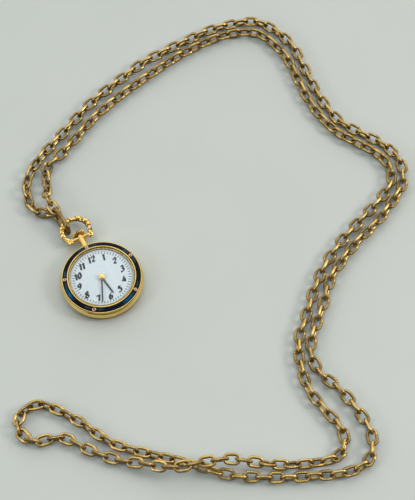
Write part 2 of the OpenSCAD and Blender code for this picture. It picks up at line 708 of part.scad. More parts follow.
// Carries a piece to an arbor's place on the movement
module at(p) translate([p[0], p[1], 0]) children();
module mainplate() color("silver") difference() {
    union() {
        disc(plate_d, plate_z, motion_z);
        intersection() {
            translate([-block_w / 2, block_y, train_z + loose_gap])
                cube([block_w, plate_d, train_space - loose_gap + edge]);
            disc(plate_d, 0, motion_z);
        }
        for (p = [minute_at, setting_at]) at(p) disc(post_d, motion_z - edge, dial_z - edge);
        for (p = [lever_at, yoke_at]) at(p) disc(post_d, motion_z - edge, lever_z + lever_t + edge);
    }
    along_stem() cylinder(d = stem_d + 2 * run_gap, h = plate_d);
    translate([-clutch_d / 2 - edge, clutch_y - crown_pull - edge, plate_z - over])
        cube([clutch_d + 2 * edge, winding_y - clutch_y + crown_pull, over + plate_t + over]);
    translate([-slot_half, winding_y - winding_w / 2 - edge, plate_z - over])
        cube([2 * slot_half, winding_w + 2 * edge, over + plate_t + over]);
    translate([-lever_pin_d, groove_y - air_gap, stem_z])
        cube([2 * lever_pin_d, crown_pull + 2 * air_gap, plate_t + over]);
    for (p = concat(train_arbors, [pallet_at, balance_at])) at(p) {
        disc(jewel_d, plate_z - over, plate_z + jewel_t);
        disc(pivot_d + 2 * edge, plate_z, motion_z + over);
    }
    at(centre_at) disc(centre_arbor_d + 2 * run_gap, plate_z - over, motion_z + over);
    at(barrel_at) disc(2 * barrel_arbor_r + 2 * run_gap, plate_z - over, motion_z + over);
    for (a = dial_feet) rotate([0, 0, a]) translate([foot_r, 0, 0])
        disc(foot_d + 2 * run_gap, plate_z - over, motion_z + over);
}

// A bridge: an outline cut from a disc, on pillars, with holes for its screws and jewels
module bridge(outline, pillars, jewelled) difference() {
    union() {
        intersection() {
            translate([0, 0, bridge_z]) linear_extrude(bridge_t) polygon(outline * plate_d / 2);
            disc(2 * bridge_r, bridge_z, train_z);
        }
        for (a = pillars) at(polar(pillar_r, a)) disc(pillar_d, train_z - edge, plate_z);
    }
    for (a = pillars) at(polar(pillar_r, a)) disc(screw_d, bridge_z - over, plate_z + over);
    for (p = jewelled) at(p) {
        disc(jewel_d, train_z - jewel_t, train_z + over);
        disc(pivot_d + 2 * edge, bridge_z - over, train_z);
    }
}

module barrel_bridge() color("silver") {
    difference() {
        bridge(barrel_outline_shares, barrel_pillars, []);
        at(centre_at) disc(pivot_d + 2 * edge + 2 * run_gap, bridge_z - over, train_z + over);
        at(barrel_at) disc(2 * barrel_arbor_r + 2 * run_gap, bridge_z - over, train_z + over);
        translate([-slot_half, winding_y - winding_w / 2 - edge, bridge_z - over])
            cube([2 * slot_half, winding_w + 2 * edge, bridge_t + 2 * over]);
        at(click_at) disc(post_d, bridge_z - over, train_z + over);
    }
    at(crown_wheel_at) disc(boss_d, keyless_z, bridge_z);
}

module train_bridge() color("silver") bridge(train_outline_shares, train_pillars, train_arbors);

// A flat bar with round ends between two places
module bar(p, q, w, z0, z1) {
    for (e = [p, q]) at(e) disc(w, z0, z1);
    at(p) rotate([0, 0, atan2(q[1] - p[1], q[0] - p[0])]) translate([0, -w / 2, z0])
        cube([norm(q - p), w, z1 - z0]);
}

module pallet_bridge() color("silver") difference() {
    union() {
        bar(pallet_at, polar(pillar_r, pallet_pillars[0]), bar_w, pallet_bridge_z,
            pallet_bridge_z + pallet_bridge_t);
        at(polar(pillar_r, pallet_pillars[0])) disc(pillar_d, pallet_bridge_z, plate_z);
    }
    at(polar(pillar_r, pallet_pillars[0])) disc(screw_d, pallet_bridge_z - over, plate_z + over);
    at(pallet_at) disc(pivot_d + 2 * run_gap, pallet_bridge_z - over, plate_z + over);
}

module balance_cock() color("silver") {
    difference() {
        union() {
            bar(balance_at, polar(pillar_r, cock_pillars[0]), cock_w - 2 * air_gap, bridge_z, train_z);
            at(polar(pillar_r, cock_pillars[0])) disc(pillar_d, train_z - edge, plate_z);
            at(balance_at) disc(cock_w, bridge_z, train_z);
            bar(balance_at, balance_at + [stud_r, 0], 2 * post_d, bridge_z, train_z);
        }
        at(polar(pillar_r, cock_pillars[0])) disc(screw_d, bridge_z - over, plate_z + over);
        at(balance_at) {
            disc(jewel_d, train_z - jewel_t, train_z + over);
            disc(pivot_d + 2 * edge, bridge_z - over, train_z);
        }
    }
    at(balance_at) translate([stud_r, 0, 0]) disc(post_d, train_z - edge, spring_z + spring_h);
}

module regulator() color("steelblue") at(balance_at) rotate([0, 0, regulator_a]) difference() {
    union() {
        disc(regulator_d, bridge_z - regulator_t, bridge_z - run_gap);
        translate([0, -slot_w, bridge_z - regulator_t])
            cube([regulator_l, 2 * slot_w, regulator_t - run_gap]);
    }
    disc(regulator_d / 2, 0, bridge_z + over);
}

module bridge_screws() color("steelblue") {
    for (a = concat(barrel_pillars, train_pillars, cock_pillars)) at(polar(pillar_r, a))
        slotted_screw(bridge_z, plate_z - bridge_z - edge, screw_head_d);
    at(polar(pillar_r, pallet_pillars[0]))
        slotted_screw(pallet_bridge_z, plate_z - pallet_bridge_z - edge, screw_head_d);
}

module jewels() color("crimson") {
    for (p = concat(train_arbors, [balance_at])) at(p) tube(jewel_d, pivot_d + 2 * run_gap,
        train_z - jewel_t, train_z);
    for (p = concat(train_arbors, [pallet_at, balance_at])) at(p) tube(jewel_d, pivot_d + 2 * run_gap,
        plate_z, plate_z + jewel_t);
}

module barrel() color("khaki") at(barrel_at) difference() {
    union() {
        disc(2 * barrel_r, barrel_z, barrel_z + barrel_h - barrel_wall);
        translate([0, 0, barrel_z + edge / 2]) gear(barrel_m, barrel_n, 2 * wheel_t);
    }
    disc(2 * (barrel_r - barrel_wall), barrel_z + barrel_wall, barrel_z + barrel_h);
    disc(hub_d + 2 * run_gap, barrel_z - over, barrel_z + over);
}

module barrel_lid() color("khaki") at(barrel_at)
    tube(2 * barrel_r, hub_d + 2 * run_gap, barrel_z + barrel_h - barrel_wall, barrel_z + barrel_h);

// A flat spiral strip from radius r0 to r1, as one closed outline
module spiral(r0, r1, turns, w, z, h) {
    steps = 20 * turns;
    function r_at(i) = r0 + (r1 - r0) * i / steps;
    translate([0, 0, z]) linear_extrude(h) polygon(concat(
        [for (i = [0:steps]) polar(r_at(i), 18 * i)],
        [for (i = [steps:-1:0]) polar(r_at(i) - w, 18 * i)]));
}

module mainspring() color("slategray") at(barrel_at)
    spiral(hub_d / 2 + air_gap, barrel_r - barrel_wall - run_gap, 7, mainspring_t,
        barrel_z + barrel_wall + run_gap, barrel_h - 2 * barrel_wall - 2 * run_gap);

module barrel_arbor() color("silver") at(barrel_at) {
    disc(hub_d, barrel_z, barrel_z + barrel_h);
    disc(2 * barrel_arbor_r, keyless_z, motion_z - edge);
}

module ratchet_wheel() color("silver") at(barrel_at) difference() {
    translate([0, 0, keyless_z]) gear(keyless_m, ratchet_n, keyless_t);
    disc(2 * barrel_arbor_r, 0, bridge_z);
}

module crown_wheel() color("silver") at(crown_wheel_at) difference() {
    translate([0, 0, keyless_z]) rotate([0, 0, crown_wheel_turn]) gear(keyless_m, crown_wheel_n, keyless_t);
    disc(boss_d + 2 * run_gap, 0, bridge_z);
}

// The click: a pawl beside the ratchet wheel, with a post in the barrel bridge
module click() color("silver") at(click_at) {
    disc(click_d, keyless_z, keyless_z + keyless_t);
    disc(post_d - 2 * run_gap, keyless_z, train_z);
    rotate([0, 0, click_a + 180 - click_lean]) translate([0, -click_w / 2, keyless_z])
        cube([click_nose, click_w, keyless_t]);
}

module click_spring() color("steelblue") at(click_at) rotate([0, 0, click_a - click_spring_lean])
    translate([click_d / 2 + loose_gap, -click_spring_in, keyless_z])
        cube([edge, 2 * click_d, bridge_z - keyless_z]);

// An arbor between its two jewels, in the frame of its own axis
module arbor(d, low, high) {
    disc(d, low + run_gap, high - run_gap);
    disc(pivot_d, low - jewel_t + run_gap, high + jewel_t - run_gap);
}

// A wheel with a pinion, four crossings cut out
module wheel(m, n, z) translate([0, 0, z]) difference() {
    gear(m, n, wheel_t);
    r = pitch_r(m, n);
    for (i = [0:crossings - 1]) rotate([0, 0, 45 + i * 360 / crossings])
        translate([r * crossing_at_share, 0, -over])
            cylinder(r = r * crossing_share, h = wheel_t + 2 * over);
}

module centre_wheel() color("khaki") at(centre_at) {
    wheel(centre_m, centre_n, centre_wheel_z);
    rotate([0, 0, centre_turn]) translate([0, 0, train_z + edge])
        gear(barrel_m, centre_pinion_n, centre_wheel_z - train_z - 2 * edge);
    disc(centre_arbor_d, train_z + run_gap, minute_hand_z);
    disc(pivot_d + 2 * edge, bridge_z, train_z + edge);
}

module third_wheel() color("khaki") at(third_at) {
    wheel(third_m, third_n, third_wheel_z);
    rotate([0, 0, third_turn]) translate([0, 0, centre_wheel_z - edge])
        gear(centre_m, third_pinion_n, plate_z - centre_wheel_z);
    arbor(arbor_d, train_z, plate_z);
}

module fourth_wheel() color("khaki") at(fourth_at) {
    wheel(fourth_m, fourth_n, fourth_wheel_z);
    rotate([0, 0, fourth_turn]) translate([0, 0, third_wheel_z - edge / 2])
        gear(third_m, fourth_pinion_n, wheel_t + edge);
    arbor(arbor_d, train_z, plate_z);
}

module escape_wheel() color("khaki") at(escape_at) {
    translate([0, 0, escape_wheel_z]) linear_extrude(wheel_t) polygon([for (i = [0:escape_n - 1])
        for (j = [0:2]) polar(escape_r * escape_r_shares[j], (i + escape_turn_shares[j]) * 360 / escape_n)]);
    rotate([0, 0, escape_turn]) translate([0, 0, fourth_wheel_z - edge / 2])
        gear(fourth_m, escape_pinion_n, wheel_t + edge);
    arbor(arbor_d, train_z, plate_z);
}

// The pallet fork: an anchor over the escape wheel and a lever with a notch at the balance
module pallet_fork() color("silver") at(pallet_at) {
    difference() {
        union() {
            rotate([0, 0, balance_a]) translate([0, -fork_w / 2, fork_z]) cube([fork_l, fork_w, wheel_t]);
            rotate([0, 0, balance_a]) translate([fork_l, 0, 0]) disc(2 * fork_w, fork_z, fork_z + wheel_t);
            rotate([0, 0, toward_escape]) translate([-fork_w / 2, -anchor_l, fork_z])
                cube([fork_w, 2 * anchor_l, wheel_t]);
        }
        rotate([0, 0, balance_a]) translate([fork_l - edge / 2, -edge, fork_z - over])
            cube([over, 2 * edge, wheel_t + 2 * over]);
    }
    disc(arbor_d, pallet_bridge_z + pallet_bridge_t + run_gap, plate_z - run_gap);
    disc(pivot_d, pallet_bridge_z + run_gap, plate_z + jewel_t - run_gap);
}

module pallet_jewels() color("crimson") at(pallet_at) rotate([0, 0, toward_escape])
    for (side = [-1, 1]) translate([fork_w / 2, side * (anchor_l - pallet_w / 2) - pallet_w / 2, fork_z])
        cube([pallet_l, pallet_w, wheel_t]);

module balance_wheel() color("khaki") at(balance_at) {
    tube(balance_d, balance_d - 2 * rim_w, balance_z, balance_z + balance_t);
    for (a = [0, 90]) rotate([0, 0, a]) translate([-balance_d / 2 + rim_w / 2, -fork_w / 2, balance_z])
        cube([balance_d - rim_w, fork_w, balance_t]);
    disc(2 * roller_r, fork_z - wheel_t - loose_gap, fork_z - loose_gap);
    rotate([0, 0, balance_a + 180]) translate([pin_reach, 0, 0])
        disc(edge, fork_z - wheel_t, fork_z - run_gap);
    arbor(arbor_d, train_z, plate_z);
}

module hairspring() color("steelblue") at(balance_at)
    spiral(arbor_d / 2 + edge, stud_r - post_d / 2, 8, loose_gap, spring_z, spring_h);

// The keyless work under the dial: the setting lever and the yoke, each with a pin at the stem
module keyless_arm(post, pin, depth) {
    difference() {
        bar(post, pin, lever_w, lever_z, lever_z + lever_t);
        at(post) disc(post_d + 2 * run_gap, 0, dial_z);
    }
    at(pin) disc(lever_pin_d, depth, lever_z + edge);
}

module setting_lever() color("steelblue")
    keyless_arm(lever_at, [0, groove_y], stem_z + groove_d / 2 + loose_gap);

module yoke() color("steelblue")
    keyless_arm(yoke_at, [0, clutch_y + clutch_l / 2], stem_z + clutch_groove_d / 2 + loose_gap);

module setting_wheel() color("khaki") at(setting_at) difference() {
    translate([0, 0, motion_wheel_z]) rotate([0, 0, setting_turn]) gear(motion_m, setting_n, wheel_t);
    disc(post_d + 2 * run_gap, 0, dial_z);
}

module minute_wheel() color("khaki") at(minute_at) difference() {
    union() {
        translate([0, 0, motion_wheel_z]) rotate([0, 0, minute_turn]) gear(motion_m, minute_n, wheel_t);
        translate([0, 0, motion_wheel_z + wheel_t]) gear(hour_m, minute_pinion_n, dial_z - 2 * edge
            - motion_wheel_z - wheel_t);
    }
    disc(post_d + 2 * run_gap, 0, dial_z);
}

module cannon_pinion() color("silver") difference() {
    union() {
        translate([0, 0, motion_wheel_z]) gear(motion_m, cannon_n, wheel_t + edge);
        disc(cannon_d, motion_wheel_z, minute_hand_z);
    }
    disc(centre_arbor_d + 2 * run_gap, 0, minute_hand_z + over);
}

module hour_wheel() color("khaki") difference() {
    union() {
        translate([0, 0, hour_wheel_z]) rotate([0, 0, hour_turn]) gear(hour_m, hour_n, wheel_t);
        disc(hour_tube_d, hour_wheel_z, hour_hand_z);
    }
    disc(cannon_d + 2 * run_gap, 0, hour_hand_z + over);
}

// A stick hand that narrows to its tip, pointing to twelve, with a short tail
module hand(l, hub, bore, z) translate([0, 0, z]) linear_extrude(hand_t) difference() {
    union() {
        circle(d = hub);
        polygon([[-hand_w / 2, -hub], [hand_w / 2, -hub], [hand_w / 2, l - hand_w], [hand_w / 3, l],
            [-hand_w / 3, l], [-hand_w / 2, l - hand_w]]);
    }
    circle(d = bore);
}

module hour_hand() color("black") rotate([0, 0, hour_turned])
    hand(hour_hand_l, hour_tube_d + 4 * edge, hour_tube_d - edge, hour_hand_z);

module minute_hand() color("black") rotate([0, 0, minute_turned])
    hand(minute_hand_l, cannon_d + 6 * edge, cannon_d - edge, minute_hand_z);

module hand_cap() color("gold") {
    disc(cap_d, cap_z, cap_z + edge);
    dome(cap_d / 2, 4 * edge, cap_z + edge);
}

chain_smooth_links();
chain_ribbed_links();
bail();
bow();
case_back();
case_middle();
bezel();
enamel_ring();
ruby_settings();
rubies();
crystal();
pendant_neck();
dial();
dial_marks();
movement_ring();
case_screws();
mainplate();
barrel_bridge();
train_bridge();
pallet_bridge();
balance_cock();
regulator();
bridge_screws();
jewels();
barrel();
barrel_lid();
mainspring();
barrel_arbor();
ratchet_wheel();
crown_wheel();
click();
click_spring();
centre_wheel();
third_wheel();
fourth_wheel();
escape_wheel();
pallet_fork();
pallet_jewels();
balance_wheel();
hairspring();
crown();
winding_stem();
winding_pinion();
sliding_pinion();
setting_lever();
yoke();
setting_wheel();
minute_wheel();
cannon_pinion();
hour_wheel();
hour_hand();
minute_hand();
hand_cap();
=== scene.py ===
"""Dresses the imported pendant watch: chain, bail, bow, crown, case, enamel, stones, crystal, dial,
hands and movement, with a plain stage round them. Everything is in metres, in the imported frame."""

import json
import math

import bmesh
import bpy
import numpy as np
from mathutils import Matrix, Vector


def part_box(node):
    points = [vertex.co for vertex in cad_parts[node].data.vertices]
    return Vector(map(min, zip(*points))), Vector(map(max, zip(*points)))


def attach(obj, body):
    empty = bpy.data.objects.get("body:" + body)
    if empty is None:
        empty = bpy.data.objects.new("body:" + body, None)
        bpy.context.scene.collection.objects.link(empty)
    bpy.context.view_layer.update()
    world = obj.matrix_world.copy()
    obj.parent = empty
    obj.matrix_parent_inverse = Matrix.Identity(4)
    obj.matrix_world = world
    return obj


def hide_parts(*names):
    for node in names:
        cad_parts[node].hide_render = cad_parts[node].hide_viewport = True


bl_info = {
    "name": "Pendant watch",
    "version": (1, 0, 0),
    "blender": (4, 5, 0),
    "location": "View3D > Sidebar > Watch",
    "description": "Dresses the packed pendant watch and its neck chain",
    "category": "Object",
}

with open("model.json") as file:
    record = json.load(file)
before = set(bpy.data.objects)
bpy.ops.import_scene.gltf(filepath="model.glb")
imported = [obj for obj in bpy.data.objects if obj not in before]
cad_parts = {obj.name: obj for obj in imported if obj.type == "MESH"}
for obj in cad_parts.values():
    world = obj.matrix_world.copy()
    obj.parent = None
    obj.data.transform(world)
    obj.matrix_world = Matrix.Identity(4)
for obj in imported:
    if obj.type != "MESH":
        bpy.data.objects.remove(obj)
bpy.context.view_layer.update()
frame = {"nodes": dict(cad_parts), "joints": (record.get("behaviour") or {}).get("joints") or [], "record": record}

MM = 0.001
FULL_TURN = 2 * math.pi
UP = np.array([0, 0, 1.0])


def cad_span(node):
    """Lowest and highest corner of a CAD node, as arrays in metres."""
    low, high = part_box(node)
    return np.array(low), np.array(high)


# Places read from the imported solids
PIVOT = np.array(next(j["pos_m"] for j in frame["joints"] if j["name"] == "head_swing"))
STEM_Z = PIVOT[2]
DIAL_TOP = cad_span("dial")[1][2]


# ---------------------------------------------------------------- meshes


def grid(points, wrap=(False, True), u=None, v=None, **marks):
    """One or more like surfaces: points is (n, m, 3), or (k, n, m, 3) for k of them. wrap says
    whether the rows and the columns close on themselves, u and v are the UV places of rows and
    columns in metres, and marks are values for each point that a material reads."""
    points = np.asarray(points, float)
    if points.ndim == 3:
        points = points[None]
    return {"points": points, "wrap": wrap, "u": u, "v": v, "marks": marks}


def quads_of(sheet):
    """Corner numbers of every quad and the UV place of every corner of one sheet."""
    k, n, m = sheet["points"].shape[:3]
    wrap_n, wrap_m = sheet["wrap"]
    i, j = np.meshgrid(np.arange(n - (not wrap_n)), np.arange(m - (not wrap_m)), indexing="ij")
    i, j = i.ravel(), j.ravel()
    rows = np.stack([i, i + 1, i + 1, i], -1)
    columns = np.stack([j, j, j + 1, j + 1], -1)
    corners = (rows % n) * m + columns % m
    faces = (np.arange(k)[:, None, None] * n * m + corners).reshape(-1, 4)
    u = np.linspace(0, 1, n + 1) if sheet["u"] is None else np.append(sheet["u"], sheet["u"][-1])
    v = np.linspace(0, 1, m + 1) if sheet["v"] is None else np.append(sheet["v"], sheet["v"][-1])
    places = np.stack([u[rows], v[columns]], -1)
    return faces, np.broadcast_to(places, (k, *places.shape)).reshape(-1, 2)


def piece(name, sheets, finish, body, stands_for=(), crease=32, weld=1e-8):
    """A mesh object at the origin from sheets, welded, with its faces outwards and its creases
    sharp, that rides on a body of the frame."""
    sheets = sheets if isinstance(sheets, list) else [sheets]
    points, faces, places, start = [], [], [], 0
    names = sorted({key for s in sheets for key in s["marks"]})
    marks = {key: [] for key in names}
    for s in sheets:
        count = s["points"].reshape(-1, 3).shape[0]
        quads, where = quads_of(s)
        points.append(s["points"].reshape(-1, 3))
        faces.append(quads + start)
        places.append(where)
        start += count
        for key in names:
            value = s["marks"].get(key, 1.0)
            marks[key].append(np.broadcast_to(value, s["points"].shape[:3]).reshape(-1))
    mesh = bpy.data.meshes.new(name)
    mesh.from_pydata(np.concatenate(points).tolist(), [], np.concatenate(faces).tolist())
    mesh.uv_layers.new(name="surface").data.foreach_set("uv", np.concatenate(places).ravel())
    for key in names:
        mark = mesh.attributes.new(key, "FLOAT", "POINT")
        mark.data.foreach_set("value", np.concatenate(marks[key]))
    work = bmesh.new()
    work.from_mesh(mesh)
    bmesh.ops.remove_doubles(work, verts=work.verts, dist=weld)
    bmesh.ops.recalc_face_normals(work, faces=work.faces)
    work.to_mesh(mesh)
    work.free()
    mesh.shade_smooth()
    mesh.set_sharp_from_angle(angle=math.radians(crease))
    mesh.materials.append(finish)
    thing = bpy.data.objects.new(name, mesh)
    bpy.context.scene.collection.objects.link(thing)
    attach(thing, body)
    if stands_for:
        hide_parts(*stands_for)
    return thing


def circle(count, start=0.0):
    """Angles evenly round a circle, in radians."""
    return start + np.arange(count) * FULL_TURN / count


def polar(r, a, z=0.0):
    """Points at distances r and angles a round the Z axis, at heights z."""
    return np.stack(np.broadcast_arrays(r * np.cos(a), r * np.sin(a), z), -1)


def lathe(profile, steps, closed=True):
    """A profile of (radius, height) pairs turned about the Z axis: point = (radius cos a, radius
    sin a, height). A profile that isn't closed has both its ends on the axis."""
    profile = np.asarray(profile, float)
    points = polar(profile[:, 0, None], circle(steps), profile[:, 1, None])
    return grid(points, (closed, True), u=np.linspace(0, 1, len(profile)),
                v=np.arange(steps) / steps)


def eased(profile, radius, steps=3):
    """A closed profile with each corner rounded: a quadratic curve from radius before the corner to
    radius after it, or to 0.45 of a short side."""
    p = np.asarray(profile, float)
    before, after = np.roll(p, 1, 0) - p, np.roll(p, -1, 0) - p
    reach = lambda side: side * np.minimum(
        radius / np.maximum(np.linalg.norm(side, axis=1, keepdims=True), 1e-12), 0.45)
    a, b = p + reach(before), p + reach(after)
    on_axis = p[:, :1] <= 0
    a, b = np.where(on_axis, p, a), np.where(on_axis, p, b)
    t = np.linspace(0, 1, steps + 1)[None, :, None]
    curve = (1 - t) ** 2 * a[:, None] + 2 * t * (1 - t) * p[:, None] + t ** 2 * b[:, None]
    return curve.reshape(-1, 2)


def smooth(points, steps=6, closed=False):
    """A Catmull-Rom curve through the points."""
    p = np.asarray(points, float)
    n = len(p)
    i = np.arange(n if closed else n - 1)
    pick = (lambda k: p[k % n]) if closed else (lambda k: p[np.clip(k, 0, n - 1)])
    a, b, c, d = pick(i - 1), pick(i), pick(i + 1), pick(i + 2)
    t = (np.arange(steps) / steps)[None, :, None]
    a, b, c, d = a[:, None], b[:, None], c[:, None], d[:, None]
    curve = (2 * b + (c - a) * t + (2 * a - 5 * b + 4 * c - d) * t ** 2
             + (3 * b - a - 3 * c + d) * t ** 3) / 2
    curve = curve.reshape(-1, p.shape[1])
    return curve if closed else np.vstack([curve, p[-1]])


def tube(path, radius, sides, lit):
    """A wire along a path: each ring is path + radius times (cos a across + sin a above), where
    across is level and square to the path. Its ends close on the path's own. lit has a row for each
    ring."""
    run = np.gradient(path, axis=0)
    run /= np.linalg.norm(run, axis=1, keepdims=True)
    across = np.cross(run, UP)
    across /= np.linalg.norm(across, axis=1, keepdims=True)
    above = np.cross(across, run)
    a = circle(sides)
    ring = path[:, None] + radius[:, None, None] * (np.cos(a)[None, :, None] * across[:, None]
                                                    + np.sin(a)[None, :, None] * above[:, None])
    along = np.concatenate([[0], np.cumsum(np.linalg.norm(np.diff(path, axis=0), axis=1))])
    ends = np.repeat(path[[0, -1]][:, None], sides, 1)
    return grid(np.concatenate([ends[:1], ring, ends[1:]]), (False, True),
                u=np.concatenate([[0], along, along[-1:]]), v=np.arange(sides) / sides,
                lit=np.concatenate([lit[:1], lit, lit[-1:]]))


def capped(rings):
    """A surface through rings of corners, (n, m, 3) or (k, n, m, 3), each end closed on its
    middle."""
    ends = rings[..., [0, -1], :, :].mean(-2, keepdims=True).repeat(rings.shape[-2], -2)
    points = np.concatenate([ends[..., :1, :, :], rings, ends[..., 1:, :, :]], -3)
    return grid(points, (False, True))


def drop(base, way, up, length, width, height, bow=0.0):
    """A leaf: from base along way, its half width is width/2 times the root of sin(pi s) and its
    half height is height/2 times the same, bent by bow sin(pi s) along up. It is lit on top and
    dark below, and an upright one is lit at its tip."""
    rows, sides, upright = 9, 10, 0.9
    way, up = np.asarray(way, float), np.asarray(up, float)
    way = way / np.linalg.norm(way)
    across = np.cross(way, up)
    across /= np.linalg.norm(across)
    above = np.cross(across, way)
    s = (1 - np.cos(np.linspace(0, math.pi, rows))) / 2
    swell = np.sqrt(np.clip(np.sin(math.pi * s), 0, 1))
    a = circle(sides)
    middle = base + s[:, None] * length * way + (bow * np.sin(math.pi * s))[:, None] * above
    ring = middle[:, None] + swell[:, None, None] * (
        np.cos(a)[None, :, None] * across * width / 2
        + np.sin(a)[None, :, None] * above * height / 2)
    lit = 1.15 * swell[:, None] * (0.5 + 0.6 * np.sin(a))
    if way[2] > upright:
        lit = 1.7 * s[:, None] - 0.35 + 0 * a
    return grid(ring, (False, True), lit=np.clip(lit, 0, 1))


def bead(base, height, width):
    """A round bead that stands on base."""
    return drop(base, UP, (1, 0, 0), height, width, width)


# ---------------------------------------------------------------- finishes


def node(tree, kind, inputs=None, **settings):
    """A shader node with its settings, and with values or other nodes' sockets on its inputs."""
    made = tree.nodes.new(kind)
    for key, value in settings.items():
        setattr(made, key, value)
    for key, value in (inputs or {}).items():
        if isinstance(value, bpy.types.NodeSocket):
            tree.links.new(value, made.inputs[key])
        else:
            made.inputs[key].default_value = value
    return made


def new_finish(name, **sockets):
    """A material with one Principled shader, its sockets set, and the Object coordinates to
    read."""
    finish = bpy.data.materials.new(name)
    finish.use_nodes = True
    tree = finish.node_tree
    shader = tree.nodes["Principled BSDF"]
    for key, value in sockets.items():
        shader.inputs[key.replace("_", " ")].default_value = value
    where = node(tree, "ShaderNodeTexCoord").outputs["Object"]
    return finish, tree, shader, where


def clouds(tree, where, size, detail=4.0, rough=0.55):
    """Noise between 0 and 1 whose patches are about size metres across."""
    return node(tree, "ShaderNodeTexNoise", {"Vector": where, "Scale": 1 / size, "Detail": detail,
                                             "Roughness": rough}).outputs["Fac"]


def ramp(tree, value, low, high, to_low=0.0, to_high=1.0):
    """value between low and high carried to between to_low and to_high, and held there outside
    them."""
    return node(tree, "ShaderNodeMapRange", {"Value": value, "From Min": low, "From Max": high,
                                             "To Min": to_low, "To Max": to_high}).outputs["Result"]


def blend(tree, share, first, second):
    """first where share is 0 and second where it is 1."""
    mix = node(tree, "ShaderNodeMix", data_type="RGBA")
    tree.links.new(share, next(s for s in mix.inputs if s.name == "Factor" and s.type == "VALUE"))
    for key, value in (("A", first), ("B", second)):
        socket = next(s for s in mix.inputs if s.name == key and s.type == "RGBA")
        if isinstance(value, bpy.types.NodeSocket):
            tree.links.new(value, socket)
        else:
            socket.default_value = (*value[:3], 1)
    return next(s for s in mix.outputs if s.type == "RGBA")


def multiply(tree, a, b):
    """a times b."""
    return node(tree, "ShaderNodeMath", {0: a, 1: b}, operation="MULTIPLY").outputs[0]


def connect(tree, shader, **sockets):
    """Puts other nodes' sockets on a shader's inputs."""
    for key, socket in sockets.items():
        tree.links.new(socket, shader.inputs[key.replace("_", " ")])


def roughen(tree, shader, height, depth):
    """Raises the surface by depth metres where height is 1."""
    bump = node(tree, "ShaderNodeBump", {"Height": height, "Distance": depth, "Strength": 1.0})
    connect(tree, shader, Normal=bump.outputs["Normal"])


def mark_of(tree, name):
    """The value of a piece's mark."""
    return node(tree, "ShaderNodeAttribute", attribute_name=name).outputs["Fac"]


def dim(tone, share):
    """A colour times a share."""
    return [share * c for c in tone]


def handled(tree, where, grain, rough):
    """Fine noise of handling marks with a grain in millimetres, and the roughness that it gives."""
    fine = clouds(tree, where, grain * MM, 6.0, 0.7)
    return fine, ramp(tree, fine, 0.3, 0.7, rough * 0.7, rough * 1.4)


def metal(name, tone, shade, rough, patch=2.0, grain=0.12, bump=0.004, marks=False, wear=0.5,
          groove_shades=()):
    """A metal whose colour drifts to shade in patches of wear, and to near black, a painted shade, in
    the hollows and lower sides where marks gives them. It has fine handling marks in its roughness
    and surface. Each groove shade is a dark line, a painted shadow, between two heights, or between
    two distances from the Z axis. Sizes are in millimetres."""
    finish, tree, shader, where = new_finish(name, Metallic=1.0)
    patches = ramp(tree, clouds(tree, where, patch * MM), 0.42, 0.68)
    tone = blend(tree, multiply(tree, patches, wear), tone, shade)
    if marks:
        # Painted shade: near black where the lit mark is low, in the hollows and on lower sides.
        painted_hollow_shade = ramp(tree, mark_of(tree, "lit"), 0.25, 0.65, 1.0, 0.0)
        tone = blend(tree, painted_hollow_shade, tone, dim(shade, 0.10))
    soft = 0.05
    # Painted shadow: each groove shade is a dark line where a groove's shadow would fall.
    for kind, near, far in groove_shades:
        if kind == "height":
            place = node(tree, "ShaderNodeSeparateXYZ", {0: where}).outputs[2]
        else:
            level = node(tree, "ShaderNodeVectorMath", {0: where, 1: (1, 1, 0)},
                         operation="MULTIPLY")
            place = node(tree, "ShaderNodeVectorMath", {0: level.outputs[0]},
                         operation="LENGTH").outputs["Value"]
        dark = multiply(tree, ramp(tree, place, (near - soft) * MM, (near + soft) * MM),
                        ramp(tree, place, (far - soft) * MM, (far + soft) * MM, 1.0, 0.0))
        tone = blend(tree, dark, tone, dim(shade, 0.15))
    fine, roughness = handled(tree, where, grain, rough)
    connect(tree, shader, Base_Color=tone, Roughness=roughness)
    roughen(tree, shader, fine, bump * MM)
    return finish


def chain_metal(name, tone, shade, rough, ribs):
    """Old gold on the links, with painted shade where each wire faces down and between its ribs. The
    ribs across the wire are that many millimetres apart, and 0 means a smooth wire."""
    finish, tree, shader, where = new_finish(name, Metallic=1.0)
    patches = ramp(tree, clouds(tree, where, 2.5 * MM), 0.40, 0.66)
    tone = blend(tree, multiply(tree, patches, 0.6), tone, shade)
    # Painted shade: darker towards the lower side of each wire, where the lit mark is low.
    painted_low_shade = ramp(tree, mark_of(tree, "lit"), 0.45, 0.85, 0.9, 0.0)
    tone = blend(tree, painted_low_shade, tone, dim(shade, 0.3))
    fine, roughness = handled(tree, where, 0.1, rough)
    if ribs:
        along = node(tree, "ShaderNodeUVMap", uv_map="surface").outputs[0]
        place = node(tree, "ShaderNodeSeparateXYZ", {0: along}).outputs[0]
        turn = multiply(tree, place, FULL_TURN / (ribs * MM))
        wave = node(tree, "ShaderNodeMath", {0: turn}, operation="SINE").outputs[0]
        # Painted shade in the lines between the ribs.
        painted_rib_shade = ramp(tree, wave, -0.9, 0.1, 1.0, 0.0)
        tone = blend(tree, multiply(tree, painted_rib_shade, 0.7), tone, dim(shade, 0.25))
        roughen(tree, shader, wave, 0.05 * MM)
    else:
        roughen(tree, shader, fine, 0.006 * MM)
    connect(tree, shader, Base_Color=tone, Roughness=roughness)
    return finish


def plain(name, tone, rough, second=None, patch=1.5, **sockets):
    """Paint, ink or stone: a colour that drifts a little towards second."""
    finish, tree, shader, where = new_finish(name, **sockets)
    drift = ramp(tree, clouds(tree, where, patch * MM), 0.35, 0.7)
    fine = clouds(tree, where, 0.15 * MM, 5.0)
    connect(tree, shader, Base_Color=blend(tree, drift, tone, second or dim(tone, 0.8)),
            Roughness=ramp(tree, fine, 0.3, 0.7, rough * 0.8, rough * 1.3))
    return finish


